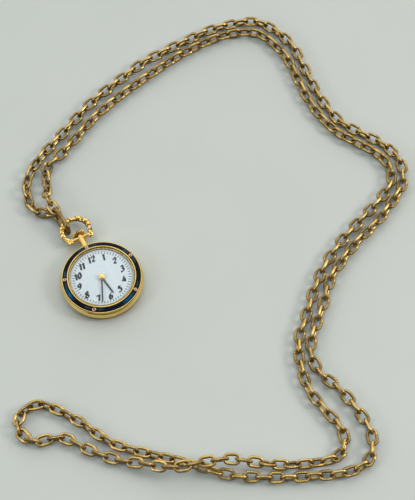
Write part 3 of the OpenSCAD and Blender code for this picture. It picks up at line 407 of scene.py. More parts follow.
def grained_metal(name, tone, rough, pitch):
    """Watch plate metal with fine rings of graining about the Z axis, pitch millimetres apart."""
    finish, tree, shader, where = new_finish(name, Metallic=1.0)
    level = node(tree, "ShaderNodeMapping", {"Vector": where, "Scale": (1, 1, 0)}).outputs[0]
    rings = node(tree, "ShaderNodeTexWave", {"Vector": level, "Scale": 1 / (20 * pitch * MM),
                                             "Distortion": 1.5, "Detail": 3.0},
                 wave_type="RINGS", rings_direction="Z").outputs["Fac"]
    connect(tree, shader, Base_Color=blend(tree, multiply(tree, rings, 0.4), tone, dim(tone, 0.75)),
            Roughness=ramp(tree, rings, 0.0, 1.0, rough * 0.8, rough * 1.3))
    roughen(tree, shader, rings, 0.002 * MM)
    return finish


def repaint(name, finish):
    """A CAD node's own surface with a better finish."""
    mesh = frame["nodes"][name].data
    mesh.materials.clear()
    mesh.materials.append(finish)


# ---------------------------------------------------------------- settings


def length(name, text, default):
    """A setting that is a length in metres."""
    return bpy.props.FloatProperty(name=name, description=text, default=default, min=0, precision=5,
                                   unit="LENGTH", subtype="DISTANCE")


def colour(name, text, default):
    """A setting that is a colour."""
    return bpy.props.FloatVectorProperty(name=name, description=text, default=default, size=3,
                                         min=0, max=1, subtype="COLOR")


class WatchChainSettings(bpy.types.PropertyGroup):
    link_length: length("Link length", "Length of a chain link", 5.6 * MM)
    link_width: length("Link width", "Width of a chain link", 3.7 * MM)
    wire: length("Wire", "Thickness of a link's wire", 0.96 * MM)
    rib: length("Rib", "Distance between the ribs of a ribbed link", 0.5 * MM)
    gold: colour("Old gold", "Colour of the chain", (0.72, 0.49, 0.17))
    # Tarnish for dull patches; dimmed, it also gives the painted shade on the wires' lower sides and between ribs.
    tarnish: colour("Tarnish", "Colour of the chain where it is dull", (0.20, 0.115, 0.032))
    # A darker, browner colour than the chain's gold, for the bail
    bronze: colour("Bronze", "Colour of the bail", (0.34, 0.21, 0.07))


class WatchCaseSettings(bpy.types.PropertyGroup):
    gold: colour("Gold", "Colour of the polished case", (0.90, 0.66, 0.22))
    # Worn gold for patches; dimmed, it also gives the painted shade in hollows, groove lines and on the bezel.
    shade: colour("Worn gold", "Colour of the case where it is worn", (0.70, 0.43, 0.11))
    enamel: colour("Enamel", "Dark colour of the bezel's enamel", (0.002, 0.005, 0.010))
    leaf: colour("Leaf", "Colour of the leaf shapes in the enamel", (0.045, 0.100, 0.100))
    # Colour of the painted blue highlights on the enamel
    glow: colour("Glow", "Colour of the enamel between the leaves", (0.004, 0.16, 0.40))
    ruby: colour("Ruby", "Colour of the stones", (0.30, 0.006, 0.02))


class WatchDialSettings(bpy.types.PropertyGroup):
    white: colour("Dial", "Colour of the dial", (0.70, 0.765, 0.785))
    ink: colour("Ink", "Colour of the numbers and marks", (0.012, 0.012, 0.014))
    number_height: length("Number height", "Height of a number on the dial", 1.95 * MM)
    number_radius: length("Number radius", "Distance of the numbers from the centre", 7.1 * MM)


class WatchStageSettings(bpy.types.PropertyGroup):
    floor: colour("Floor", "Colour of the floor", (0.575, 0.605, 0.558))
    camera_place: bpy.props.FloatVectorProperty(
        name="Camera place", description="Place of the camera", default=(-0.0586, -0.1930, 0.3917),
        size=3, subtype="TRANSLATION", unit="LENGTH")


def settings(name):
    """The group of settings with this name."""
    return getattr(bpy.context.scene, "watch_" + name)


# ---------------------------------------------------------------- chain and bail


def cad_points(name):
    """The points of a CAD node."""
    mesh = frame["nodes"][name].data
    points = np.empty(len(mesh.vertices) * 3)
    mesh.vertices.foreach_get("co", points)
    return points.reshape(-1, 3)


def solids_in(name):
    """The points of each separate solid of a CAD node. Points that share a place share a number,
    and each number falls to the lowest that an edge joins it to, until none falls."""
    points, number = np.unique(cad_points(name).round(8), axis=0, return_inverse=True)
    mesh = frame["nodes"][name].data
    edges = np.empty(len(mesh.edges) * 2, int)
    mesh.edges.foreach_get("vertices", edges)
    a, b = number.ravel()[edges.reshape(-1, 2)].T
    label = np.arange(len(points))
    while True:
        lower = label.copy()
        low = np.minimum(label[a], label[b])
        np.minimum.at(lower, a, low)
        np.minimum.at(lower, b, low)
        lower = lower[lower]
        if (lower == label).all():
            break
        label = lower
    return [points[label == k] for k in np.unique(label)]


def frames_of(name):
    """Centre and long, wide and thin directions of every solid, from the spread of its points."""
    centres, turns = [], []
    for points in solids_in(name):
        middle = points.mean(0)
        turn = np.linalg.eigh(np.cov((points - middle).T))[1][:, ::-1].T
        local = (points - middle) @ turn.T
        centres.append(middle + (local.max(0) + local.min(0)) / 2 @ turn)
        turns.append(turn)
    return np.array(centres), np.array(turns)


def oval(length_m, width_m, wire_m, count, sides):
    """A link about the origin, long in X and wide in Y. Its middle line is two straights and two
    half circles, walked evenly: a point at distance d has its place from the part of the line that
    d is in."""
    r, straight = (width_m - wire_m) / 2, length_m - width_m
    half = straight + math.pi * r
    d = (np.arange(count) + 0.5) / count * 2 * half
    side, d = np.where(d < half, 1.0, -1.0), d % half
    bend = np.clip((d - straight) / r, 0, math.pi)
    x = np.where(d < straight, d - straight / 2, straight / 2 + r * np.sin(bend)) * side
    y = -r * np.cos(bend) * side
    out = np.stack([np.sin(bend) * side, -np.cos(bend) * side, 0 * x], -1)
    a = circle(sides)
    middle = np.stack([x, y, 0 * x], -1)[:, None]
    across = np.cos(a)[None, :, None] * out[:, None]
    above = np.sin(a)[None, :, None] * UP
    return middle + wire_m / 2 * (across + above), np.linspace(0, 2 * half, count + 1)


def laid_ovals(name, size, count, sides):
    """A link of a length, width and wire for every solid of a CAD node, turned and moved to it, as
    one grid. lit is 1 where the wire faces up and 0 where it faces down."""
    shape, along = oval(*size, count, sides)
    centres, turns = frames_of(name)
    points = np.einsum("nmi,kij->knmj", shape, turns) + centres[:, None, None]
    facing = shape - shape.mean(1, keepdims=True)
    facing /= np.linalg.norm(facing, axis=-1, keepdims=True)
    lit = 0.5 + 0.5 * np.einsum("nmi,ki->knm", facing, turns[:, :, 2])
    return grid(points, (True, True), u=along[:-1], v=np.arange(sides) / sides, lit=lit)


class WATCH_OT_chain(bpy.types.Operator):
    """Makes the smooth and the ribbed links of the neck chain"""
    bl_idname = "watch.chain"
    bl_label = "Chain"

    def execute(self, context):
        s = settings("chain")
        corners_out = 1.03  # an eight-sided wire this much thicker is as heavy as a round one
        size = s.link_length, s.link_width, s.wire * corners_out
        for kind, rough, rib in (("smooth", 0.27, 0), ("ribbed", 0.30, s.rib / MM)):
            gold = chain_metal("old_gold_" + kind, s.gold, s.tarnish, rough, rib)
            solid = f"chain_{kind}_links"
            piece(kind + "_links", laid_ovals(solid, size, 18, 8), gold, "chain", [solid],
                  crease=80)
        return {"FINISHED"}


class WATCH_OT_bail(bpy.types.Operator):
    """Makes the long dark bail that joins the chain's ends to the bow"""
    bl_idname = "watch.bail"
    bl_label = "Bail"

    def execute(self, context):
        s = settings("chain")
        turn = frames_of("bail")[1][0]
        size = np.ptp(solids_in("bail")[0] @ turn.T, axis=0)
        # The bail is a darker brown than the chain's gold; the lit mark paints shade on its lower side.
        bronze = metal("dark_bronze", s.bronze, s.tarnish, 0.26, patch=3.0, grain=0.15, wear=0.8,
                       marks=True)
        piece("bail_ring", laid_ovals("bail", size, 72, 14), bronze, "chain", ["bail"],
              crease=80)
        return {"FINISHED"}


# ---------------------------------------------------------------- bow, crown and neck


# The bow's ring: the radius of its middle line, and its centre from the place that it hangs on
BOW_R = 4.4 * MM
BOW_AT = np.array([-0.3 * MM, PIVOT[1] + 2.9 * MM, STEM_Z])


def on_bow(turn, out=0.0, up=0.0):
    """A point at a turn in degrees on the bow's ring, out metres outside it and up metres above
    it."""
    return BOW_AT + polar(BOW_R + out, np.radians(turn), up)


def outward(turn):
    """The way out of the bow's ring at a turn in degrees."""
    return polar(1.0, np.radians(turn))


def volute(turn, way, hand, size, wire, turns):
    """A scroll that leaves the bow's ring at a turn and winds in: its distance from its own centre
    shrinks from size to about a quarter of it while it goes round turns times, and it rises. way is
    1 outside the ring and -1 inside, hand is 1 or -1 for its way round. A bead fills its eye."""
    steps, sides = 26, 8
    t = np.linspace(0, 1, steps)
    centre = on_bow(turn) + way * size * outward(turn)
    a = math.radians(turn) + (math.pi if way > 0 else 0) + hand * FULL_TURN * turns * t
    path = centre + polar(size * (1 - 0.72 * t), a, (0.25 + 0.12 * t) * MM)
    # lit: painted shade on the lower side of the scroll's wire, bright on top
    lit = np.broadcast_to(0.2 + 0.8 * np.clip(np.sin(circle(sides)) * 1.4, 0, 1), (steps, sides))
    return [tube(path, wire * (1 - 0.35 * t), sides, lit),
            bead(path[-1] - 0.28 * MM * UP, 0.6 * MM, 0.6 * MM)]


def bow_ring():
    """The bow's own wire. Its lit mark paints shade on the wire's lower side, below its ornaments and
    at each waist between them, and leaves it bright where it is plain, at the top. Its radius is
    0.76 mm less up to 0.10 mm at a waist."""
    first, last, top, sides, waists = -48, 228, 98, 12, 9
    turn = np.linspace(first, last, 153)
    bare = np.clip(1.6 - np.abs(turn - top) / 18, 0, 1)
    waist = (1 - np.abs(np.sin(np.radians(turn * waists)))) * (1 - bare)
    # lit: painted shade on the lower side, below the ornaments and at the waists
    lit = np.clip(0.25 + 0.5 * np.sin(circle(sides)) + (0.6 * bare - 0.5 * waist)[:, None], 0, 1)
    return tube(on_bow(turn), (0.76 - 0.10 * waist) * MM, sides, lit)


def lobe(turn, slant, size, inside=0.65):
    """A leaf across the bow's ring, size mm long, from inside mm within its middle line outwards.
    It is slanted round the ring by slant times its way out."""
    way = outward(turn) + slant * outward(turn + 90.0)
    return drop(on_bow(turn, -inside * MM, 0.3 * MM), way, UP, size * MM, 1.3 * MM, 1.4 * MM,
                bow=0.22 * MM)


def bow_ornaments():
    """The cast ornaments, by their turn round the ring: leaves, scrolls, beads and a rosette."""
    sheets = [lobe(turn, slant, size) for turn, slant, size in (
        (80, 1.3, 2.2), (66, -1.1, 2.2), (50, 1.2, 2.3), (36, -1.0, 2.3), (20, 1.1, 2.3),
        (-2, 1.1, 2.2), (-24, -1.0, 2.3))]
    for turn, way, hand, size, wire, turns in (
            (8, 1, -1, 0.50, 0.40, 1.15), (44, -1, 1, 0.34, 0.32, 1.15),
            (-38, 1, 1, 0.62, 0.55, 1.25), (-14, -1, -1, 0.36, 0.32, 1.15)):
        sheets += volute(turn, way, hand, size * MM, wire * MM, turns)
    for turn in (128, 146, 164, 182):
        sheets.append(bead(on_bow(turn, 0.1 * MM, -0.1 * MM), 1.3 * MM, 1.9 * MM))
        sheets.append(bead(on_bow(turn + 9, -0.3 * MM), 0.95 * MM, 0.8 * MM))
    sheets += [lobe(197, 1.0, 2.0, 0.8), lobe(209, -0.8, 1.9, 0.8)]
    rosette = on_bow(222, 0.1 * MM, 0.4 * MM)
    for a in circle(5, 0.3):
        sheets.append(drop(rosette, polar(1.0, a, 0.12), UP, 1.4 * MM, 1.05 * MM, 0.9 * MM,
                           bow=0.1 * MM))
    sheets.append(bead(rosette - 0.05 * MM * UP, 0.65 * MM, 0.6 * MM))
    return sheets


class WATCH_OT_bow(bpy.types.Operator):
    """Makes the cast bow with its ornaments, knuckles and pins"""
    bl_idname = "watch.bow"
    bl_label = "Bow"

    def execute(self, context):
        s = settings("case")
        # marks=True: the lit mark paints shade into the casting's hollows and lower sides.
        cast_gold = metal("cast_gold", s.gold, s.shade, 0.2, patch=1.2, grain=0.1, bump=0.01,
                          marks=True)
        sheets = [bow_ring(), *bow_ornaments()]
        # A pin in the crossbar's end and the wider knuckle beyond it: radius and distance outwards
        knuckle = eased([(0, 1.5), (0.35, 1.5), (0.35, 2.21), (0.74, 2.21), (0.74, 3.1),
                         (0, 3.1)], 0.15)
        for side in (-1, 1):
            turned = lathe(knuckle * MM, 24)
            turned["points"] = turned["points"][..., [2, 0, 1]] * (side, 1, 1) + PIVOT
            sheets.append(turned)
        piece("bow_casting", sheets, cast_gold, "chain", ["bow"], crease=50)
        return {"FINISHED"}


class WATCH_OT_crown(bpy.types.Operator):
    """Makes the fluted crown"""
    bl_idname = "watch.crown"
    bl_label = "Crown"

    def execute(self, context):
        low, high = cad_span("crown")
        s = settings("case")
        radius, long = (high[0] - low[0]) / 2, high[1] - low[1]
        # Height and radius as shares of the crown's, and the share of the flutes' depth there
        h, r, depth = np.array([
            (0, 0, 0), (0, 0.42, 0.2), (0.10, 0.70, 1), (0.26, 0.97, 1), (0.36, 1, 1), (0.5, 1, 1),
            (0.72, 0.99, 1), (0.85, 0.94, 1), (0.93, 0.84, 0.9), (0.98, 0.68, 0.5), (1, 0.40, 0),
            (1, 0, 0)]).T[..., None]
        flutes, steps_each, deepest = 18, 10, 0.17
        a = circle(flutes * steps_each)
        ridge = 0.5 + 0.5 * np.cos(flutes * a)
        radial = radius * r * (1 - deepest * depth * (1 - ridge))
        x, z = radial * np.cos(a), radial * np.sin(a)
        points = np.stack([x, low[1] + long * np.broadcast_to(h, x.shape), z + STEM_Z], -1)
        # lit: painted shade in the hollows between the flutes
        lit = np.clip(0.1 + 0.9 * ridge + 0.3 * (1 - depth), 0, 1)
        fluted = metal("crown_gold", s.gold, s.shade, 0.2, patch=1.5, grain=0.08, marks=True)
        piece("crown_knob", grid(points, (False, True), lit=lit), fluted, "stem", ["crown"],
              crease=40)
        return {"FINISHED"}


class WATCH_OT_neck(bpy.types.Operator):
    """Finishes the pendant neck and its crossbar in gold"""
    bl_idname = "watch.neck"
    bl_label = "Pendant neck"

    def execute(self, context):
        s = settings("case")
        repaint("pendant_neck", metal("neck_gold", dim(s.gold, 0.85), s.shade, 0.15, patch=1.2,
                                      grain=0.1, wear=0.9))
        return {"FINISHED"}


# ---------------------------------------------------------------- case, enamel and stones


class WATCH_OT_case(bpy.types.Operator):
    """Finishes the case back, case middle and bezel in polished gold"""
    bl_idname = "watch.case"
    bl_label = "Case"

    def execute(self, context):
        s = settings("case")
        polish = {"rough": 0.13, "patch": 4.0, "grain": 0.2, "bump": 0.002, "wear": 0.35}
        repaint("case_back", metal("polished_gold", s.gold, s.shade, **polish))
        # Painted shadow: the dark band from 0.62 to 1.42 mm up stands in for the shadow of a groove near the case
        # back.
        repaint("case_middle", metal("seamed_gold", s.gold, s.shade, **polish,
                                     groove_shades=[("height", 0.62, 1.42)]))
        # Painted shade: the bezel's gold is a darker copy of the case gold for its level top, and its two dark
        # rings are painted shade between its steps.
        repaint("bezel", metal("rim_gold", dim(s.gold, 0.80), dim(s.shade, 0.55), 0.10, patch=6.0,
                               grain=0.4, bump=0.0005, wear=0.5,
                               groove_shades=[("radius", 10.18, 10.42), ("radius", 9.7, 9.9)]))
        return {"FINISHED"}


# The enamel's inner edge, and the stones' places round the ring, distance from the middle and lean
ENAMEL_IN = 10.77 * MM
RUBY_TURNS = np.radians([90, 159.5, 234, 311, 374.5])
STONE_RING = 11.5 * MM
STONE_LEAN = math.radians(14.9)


def turned_from(a, turn):
    """The angle from turn to a, half a turn at most either way."""
    return (a - turn + math.pi) % FULL_TURN - math.pi


def glaze(a, v):
    """Shares of leaf and painted glint in the enamel at an angle a round the ring and at v across it,
    -1 to 1. A leaf lies 10 degrees to each side of a stone, where its width is the arch 1 - d squared
    of the distance d from its middle. The painted glint is blue streaks, arches too, a painted
    highlight where bright blue reflections fall on the ring."""
    near = np.abs(turned_from(a[..., None], RUBY_TURNS)).min(-1)
    arch = np.clip(1 - ((near - math.radians(10)) / math.radians(6)) ** 2, 0, 1)
    leaf = np.clip((0.62 * arch - np.abs(v + 0.1)) * 6, 0, 1) * (0.55 + 0.45 * np.cos(v * 9))
    glow = 0 * (a + v)
    # Painted highlight: blue streaks at fixed turns round the ring, the two strongest where the lamps' reflections
    # fall.
    for middle, reach, strength in ((185, 14, 1.0), (-69, 12, 0.9), (150, 5, 0.35), (25, 6, 0.3)):
        off = turned_from(a, math.radians(middle)) / math.radians(reach)
        glow = glow + strength * np.clip(1 - off ** 2, 0, 1)
    return leaf, glow * np.clip(1.1 - np.abs(v - 0.1) * 1.4, 0, 1)


class WATCH_OT_enamel(bpy.types.Operator):
    """Makes the dark enamel ring with its leaves"""
    bl_idname = "watch.enamel"
    bl_label = "Enamel"

    def execute(self, context):
        s = settings("case")
        low, high = cad_span("enamel_ring")
        outer, edge, crest, steps = high[0], 0.38 * MM, 0.07 * MM, 720
        t = np.linspace(0, 1, 13)
        top = low[2] + edge + (high[2] - low[2] - edge) * t + crest * np.sin(math.pi * t)
        r = np.concatenate([outer + (ENAMEL_IN - outer) * t, [ENAMEL_IN, outer]])[:, None]
        h = np.concatenate([top, [high[2] - edge, low[2]]])[:, None]
        a = circle(steps)
        points = polar(r, a, h)
        leaf, glow = glaze(a[None], np.concatenate([1 - 2 * t, [-1, 1]])[:, None])
        finish, tree, shader, where = new_finish("enamel_glaze", Roughness=0.25,
                                                 Specular_IOR_Level=0.08)
        mottle = ramp(tree, clouds(tree, where, 0.5 * MM), 0.35, 0.65, 0.35, 1.0)
        # The painted glint mark paints bright blue highlights into the enamel and makes it metallic there.
        tone = blend(tree, multiply(tree, mark_of(tree, "glow"), mottle), s.enamel, s.glow)
        tone = blend(tree, multiply(tree, mark_of(tree, "leaf"), mottle), tone, s.leaf)
        connect(tree, shader, Base_Color=tone, Metallic=multiply(tree, mark_of(tree, "glow"), 0.9))
        roughen(tree, shader, clouds(tree, where, 0.12 * MM, 3.0), 0.004 * MM)
        piece("enamel_band", grid(points, (True, True), leaf=leaf, glow=glow), finish, "case",
              ["enamel_ring"], crease=40)
        return {"FINISHED"}


class WATCH_OT_stones(bpy.types.Operator):
    """Makes the five cut rubies in their gold settings"""
    bl_idname = "watch.stones"
    bl_label = "Stones"

    def execute(self, context):
        s = settings("case")
        low, high = cad_span("ruby_settings")
        seat = (low[2] + high[2]) / 2 + 0.12 * MM
        cup = eased([(0.37, -0.3), (0.60, -0.3), (0.615, 0.06), (0.53, 0.17), (0.40, 0.13),
                     (0.37, 0.02)], 0.05) * MM
        gem = np.array([(0, -0.2), (0.2, -0.1), (0.385, 0.03), (0.385, 0.06), (0.30, 0.14),
                        (0.2, 0.17), (0, 0.17)]) * MM
        cups, gems = [], []
        for turn in RUBY_TURNS:
            out = polar(1.0, turn)
            normal = out * math.sin(STONE_LEAN) + UP * math.cos(STONE_LEAN)
            side = np.cross(normal, out)
            basis = np.stack([np.cross(side, normal), side, normal])
            for profile, steps, into in ((cup, 24, cups), (gem, 8, gems)):
                shape = lathe(profile, steps, closed=into is cups)
                shape["points"] = shape["points"] @ basis + out * STONE_RING + UP * seat
                into.append(shape)
        pale_gold = metal("setting_gold", (0.95, 0.64, 0.50), s.shade, 0.22, patch=1.0, grain=0.1)
        ruby = plain("ruby_red", s.ruby, 0.04, dim(s.ruby, 0.5), patch=0.4, Coat_Weight=1.0,
                     Transmission_Weight=0.15, IOR=1.76)
        piece("ruby_cups", cups, pale_gold, "case", ["ruby_settings"])
        piece("ruby_stones", gems, ruby, "case", ["rubies"], crease=8)
        return {"FINISHED"}


class WATCH_OT_crystal(bpy.types.Operator):
    """Makes the domed crystal"""
    bl_idname = "watch.crystal"
    bl_label = "Crystal"

    def execute(self, context):
        low, high = cad_span("crystal")
        edge_r, foot, top = high[0], low[2], high[2]
        inner_r, shoulder, wall, bevel = 9.5 * MM, foot + 0.45 * MM, 0.65 * MM, 0.08 * MM

        def dome(r0, z0, z1):
            """A ball's section through (r0, z0) with its top at (0, z1)."""
            rise = z1 - z0
            ball = (r0 ** 2 + rise ** 2) / (2 * rise)
            r = r0 * np.sin(np.linspace(math.pi / 2, 0, 22))
            return np.stack([r, z1 - ball + np.sqrt(ball ** 2 - r ** 2)], -1)

        profile = np.vstack([
            dome(edge_r, shoulder, top), dome(inner_r, shoulder - 0.1 * MM, top - wall)[::-1],
            [(inner_r, foot), (edge_r - bevel, foot), (edge_r, foot + bevel)]])
        finish, tree, gloss, where = new_finish("crystal_glass", Metallic=1.0,
                                                Base_Color=(1, 1, 1, 1))
        smear = ramp(tree, clouds(tree, where, 3 * MM), 0.35, 0.7, 0.02, 0.07)
        connect(tree, gloss, Roughness=smear)
        clear = node(tree, "ShaderNodeBsdfTransparent", {"Color": (0.985, 0.995, 1.0, 1)})
        facing = node(tree, "ShaderNodeLayerWeight", {"Blend": 0.5}).outputs["Facing"]
        edge = node(tree, "ShaderNodeMath", {0: facing, 1: 4.0}, operation="POWER").outputs[0]
        mix = node(tree, "ShaderNodeMixShader", {0: ramp(tree, edge, 0.0, 1.0, 0.025, 0.6),
                                                 1: clear.outputs[0], 2: gloss.outputs[0]})
        connect(tree, tree.nodes["Material Output"], Surface=mix.outputs[0])
        piece("crystal_dome", lathe(profile, 128), finish, "case", ["crystal"],
              crease=30)
        return {"FINISHED"}


# ---------------------------------------------------------------- dial and hands


# How high the ink stands on the dial
INK = 0.02 * MM

# The pen strokes of each digit, in hundredths of its height. Those of 0 and 8 are closed.
DIGITS = {
    "0": [[(30, 98), (12, 78), (8, 50), (12, 22), (30, 2), (48, 22), (52, 50), (48, 78)]],
    "1": [[(10, 80), (22, 86), (32, 99), (33, 50), (32, 1)],
          [(20, 2), (32, 5), (46, 2)]],
    "2": [[(8, 72), (16, 92), (34, 99), (50, 82), (44, 54), (24, 28), (6, 5)],
          [(6, 5), (24, 13), (42, 3), (58, 14)]],
    "3": [[(8, 86), (28, 99), (47, 84), (40, 62), (22, 54)],
          [(22, 54), (45, 50), (53, 27), (36, 3), (16, 2), (5, 15)]],
    "4": [[(40, 99), (20, 62), (3, 30), (30, 32), (58, 36)],
          [(43, 62), (40, 30), (38, 0)]],
    "5": [[(54, 98), (34, 93), (17, 96), (12, 56)],
          [(12, 56), (32, 64), (51, 48), (48, 18), (28, 1), (5, 10)]],
    "6": [[(52, 96), (28, 84), (11, 52), (9, 22), (26, 1), (46, 12), (49, 34), (36, 52), (18, 46),
           (10, 30)]],
    "7": [[(5, 80), (12, 95), (32, 90), (56, 97)],
          [(56, 97), (36, 58), (24, 1)]],
    "8": [[(30, 53), (13, 70), (17, 92), (33, 99), (47, 89), (45, 69), (30, 53), (10, 36), (8, 13),
           (28, 1), (50, 13), (47, 36)]],
    "9": [[(8, 4), (32, 16), (49, 48), (51, 78), (34, 99), (14, 88), (11, 66), (24, 48), (42, 54),
           (50, 70)]],
}


def inked(line, side):
    """The four corners of the ink round each point of a line on the dial, side to each side of
    it."""
    corners = ((1, DIAL_TOP), (-1, DIAL_TOP), (-1, DIAL_TOP + INK), (1, DIAL_TOP + INK))
    return np.stack([np.column_stack([line + hand * side, np.full(len(line), z)])
                     for hand, z in corners], 1)


def pen_stroke(path, closed, centre, height):
    """A stroke of a broad pen on the dial: half its width is 0.055 to 0.195 of the number's height,
    the wider the more squarely the path crosses the pen's edge at 25 degrees."""
    slant, middle = 0.22, np.array([0.3, 0.5])
    p = (smooth(np.array(path) / 100, 5, closed) - middle) * height
    p[:, 0] += slant * p[:, 1]
    run = np.roll(p, -1, 0) - np.roll(p, 1, 0) if closed else np.gradient(p, axis=0)
    run /= np.maximum(np.linalg.norm(run, axis=1, keepdims=True), 1e-12)
    nib = np.array([math.cos(math.radians(25)), math.sin(math.radians(25))])
    square = np.abs(run[:, 0] * nib[1] - run[:, 1] * nib[0])
    side = np.stack([-run[:, 1], run[:, 0]], -1) * height * (0.055 + 0.14 * square)[:, None]
    rings = inked(p + centre, side)
    return grid(rings, (True, True)) if closed else capped(rings)


class WATCH_OT_dial(bpy.types.Operator):
    """Finishes the dial and its marks, and writes the hour numbers on it"""
    bl_idname = "watch.dial"
    bl_label = "Dial"

    def execute(self, context):
        s = settings("dial")
        ink = plain("dial_ink", s.ink, 0.5, Specular_IOR_Level=0.2)
        repaint("dial", plain("dial_white", s.white, 0.32, dim(s.white, 0.96), patch=2.5))
        near, far, half = 8.35 * MM, 9.1 * MM, 0.1 * MM
        a = circle(60)
        way = np.stack([np.cos(a), np.sin(a)], -1)
        side = np.stack([-np.sin(a), np.cos(a)], -1) * half
        dashes = capped(np.stack([inked(near * way, side), inked(far * way, side)], 1))
        piece("minute_dashes", dashes, ink, "case", ["dial_marks"], crease=60)
        strokes = []
        for hour in range(1, 13):
            a = math.pi / 2 - hour * FULL_TURN / 12
            left = (0.4 if hour > 7 else 0.1) * MM
            centre = polar(s.number_radius, a)[:2] - [left, 0]
            text = str(hour)
            pitch = (0.52 if text == "11" else 0.62) * s.number_height
            for k, digit in enumerate(text):
                place = centre + [(k - (len(text) - 1) / 2) * pitch, 0]
                strokes += [pen_stroke(path, digit in "08", place, s.number_height)
                            for path in DIGITS[digit]]
        piece("hour_numbers", strokes, ink, "case", crease=60)
        return {"FINISHED"}


def stick_hand(body, reach, width, hub_r, finish):
    """A slim hand in the CAD hand's direction: half its width is width/2, a little less at the
    ends, over a low arched section, with a round hub."""
    cad_hand = body + "_hand"
    low = cad_span(cad_hand)[0][2]
    tail, thick = 0.9 * MM, 0.1 * MM
    points = cad_points(cad_hand)
    tip = points[np.argmax(np.hypot(points[:, 0], points[:, 1]))][:2]
    way = np.array([*(tip / np.linalg.norm(tip)), 0])
    side = np.array([-way[1], way[0], 0])
    s = np.linspace(-tail, reach, 15)
    places = [-tail, 0, reach * 0.5, reach * 0.97, reach]
    half = width / 2 * np.interp(s, places, [0.8, 1, 1, 0.9, 0.75])
    section = np.array([(-1, 0), (-1, 0.55), (-0.45, 1), (0.45, 1), (1, 0.55), (1, 0)])
    rings = (s[:, None, None] * way + half[:, None, None] * section[None, :, :1] * side
             + (thick * section[None, :, 1:] + low) * UP)
    hub = [(0, low), (hub_r, low), (hub_r, low + thick), (0, low + thick)]
    piece(body + "_stick", [capped(rings), lathe(eased(hub, 0.03 * MM), 32, closed=False)], finish,
          body, [cad_hand], crease=35)


class WATCH_OT_hands(bpy.types.Operator):
    """Makes the stick hands and the domed cap over them"""
    bl_idname = "watch.hands"
    bl_label = "Hands"

    def execute(self, context):
        s, c = settings("dial"), settings("case")
        gloss = plain("hand_black", s.ink, 0.4, Specular_IOR_Level=0.2)
        stick_hand("hour", 6.6 * MM, 0.48 * MM, 0.92 * MM, gloss)
        stick_hand("minute", 8.8 * MM, 0.44 * MM, 0.72 * MM, gloss)
        low, high = cad_span("hand_cap")
        r, base, rim = high[0], low[2], low[2] + 0.14 * MM
        profile = [(0, base), (r * 0.95, base), (r, base + 0.06 * MM), (r, base + 0.12 * MM)]
        profile += [(r * 0.9 * math.cos(a), rim + (high[2] - rim) * math.sin(a))
                    for a in np.linspace(0, math.pi / 2, 9)]
        cap_gold = metal("cap_gold", c.gold, c.shade, 0.14, patch=1.0, grain=0.1)
        piece("hands_cap", lathe(profile, 48, closed=False), cap_gold, "minute", ["hand_cap"],
              crease=40)
        return {"FINISHED"}


# ---------------------------------------------------------------- movement


class WATCH_OT_movement(bpy.types.Operator):
    """Finishes the plates, wheels, screws, springs and jewels inside the case"""
    bl_idname = "watch.movement"
    bl_label = "Movement"

    def execute(self, context):
        nickel = grained_metal("grained_nickel", (0.72, 0.70, 0.65), 0.3, 0.12)
        steel = metal("polished_steel", (0.62, 0.63, 0.65), (0.45, 0.46, 0.48), 0.2, patch=1.5,
                      grain=0.06)
        blued = metal("blued_steel", (0.03, 0.07, 0.30), (0.05, 0.04, 0.20), 0.18, patch=1.0,
                      grain=0.08)
        brass = grained_metal("wheel_brass", (0.78, 0.58, 0.26), 0.28, 0.08)
        jewel = plain("jewel_red", (0.55, 0.02, 0.10), 0.08, patch=0.5, Coat_Weight=1.0)
        by_slot = {"nickel": nickel, "steel": steel, "blued_steel": blued, "gear_brass": brass,
                   "jewel": jewel}
        for part in frame["record"]["subparts"]:
            if part["material_slot"] in by_slot:
                repaint(part["node"], by_slot[part["material_slot"]])
        return {"FINISHED"}


# ---------------------------------------------------------------- stage


def aimed(right, over, back, place):
    """The matrix of a lamp or camera that looks against back from a place."""
    turn = np.stack([right, over, back, place], 1)
    return Matrix([*turn.tolist(), (0, 0, 0, 1)])


def soft_lamp(name, way, power, tint):
    """A square lamp that looks at the watch from a direction."""
    distance, size = 0.9, 0.26
    way = np.array(way, float)
    way /= np.linalg.norm(way)
    data = bpy.data.lights.new(name, "AREA")
    data.energy, data.color, data.size = power, tint, size
    lamp = bpy.data.objects.new(name, data)
    right = np.cross([0, 1, 0], way)
    right /= np.linalg.norm(right)
    lamp.matrix_world = aimed(right, np.cross(way, right), way, way * distance)
    bpy.context.scene.collection.objects.link(lamp)


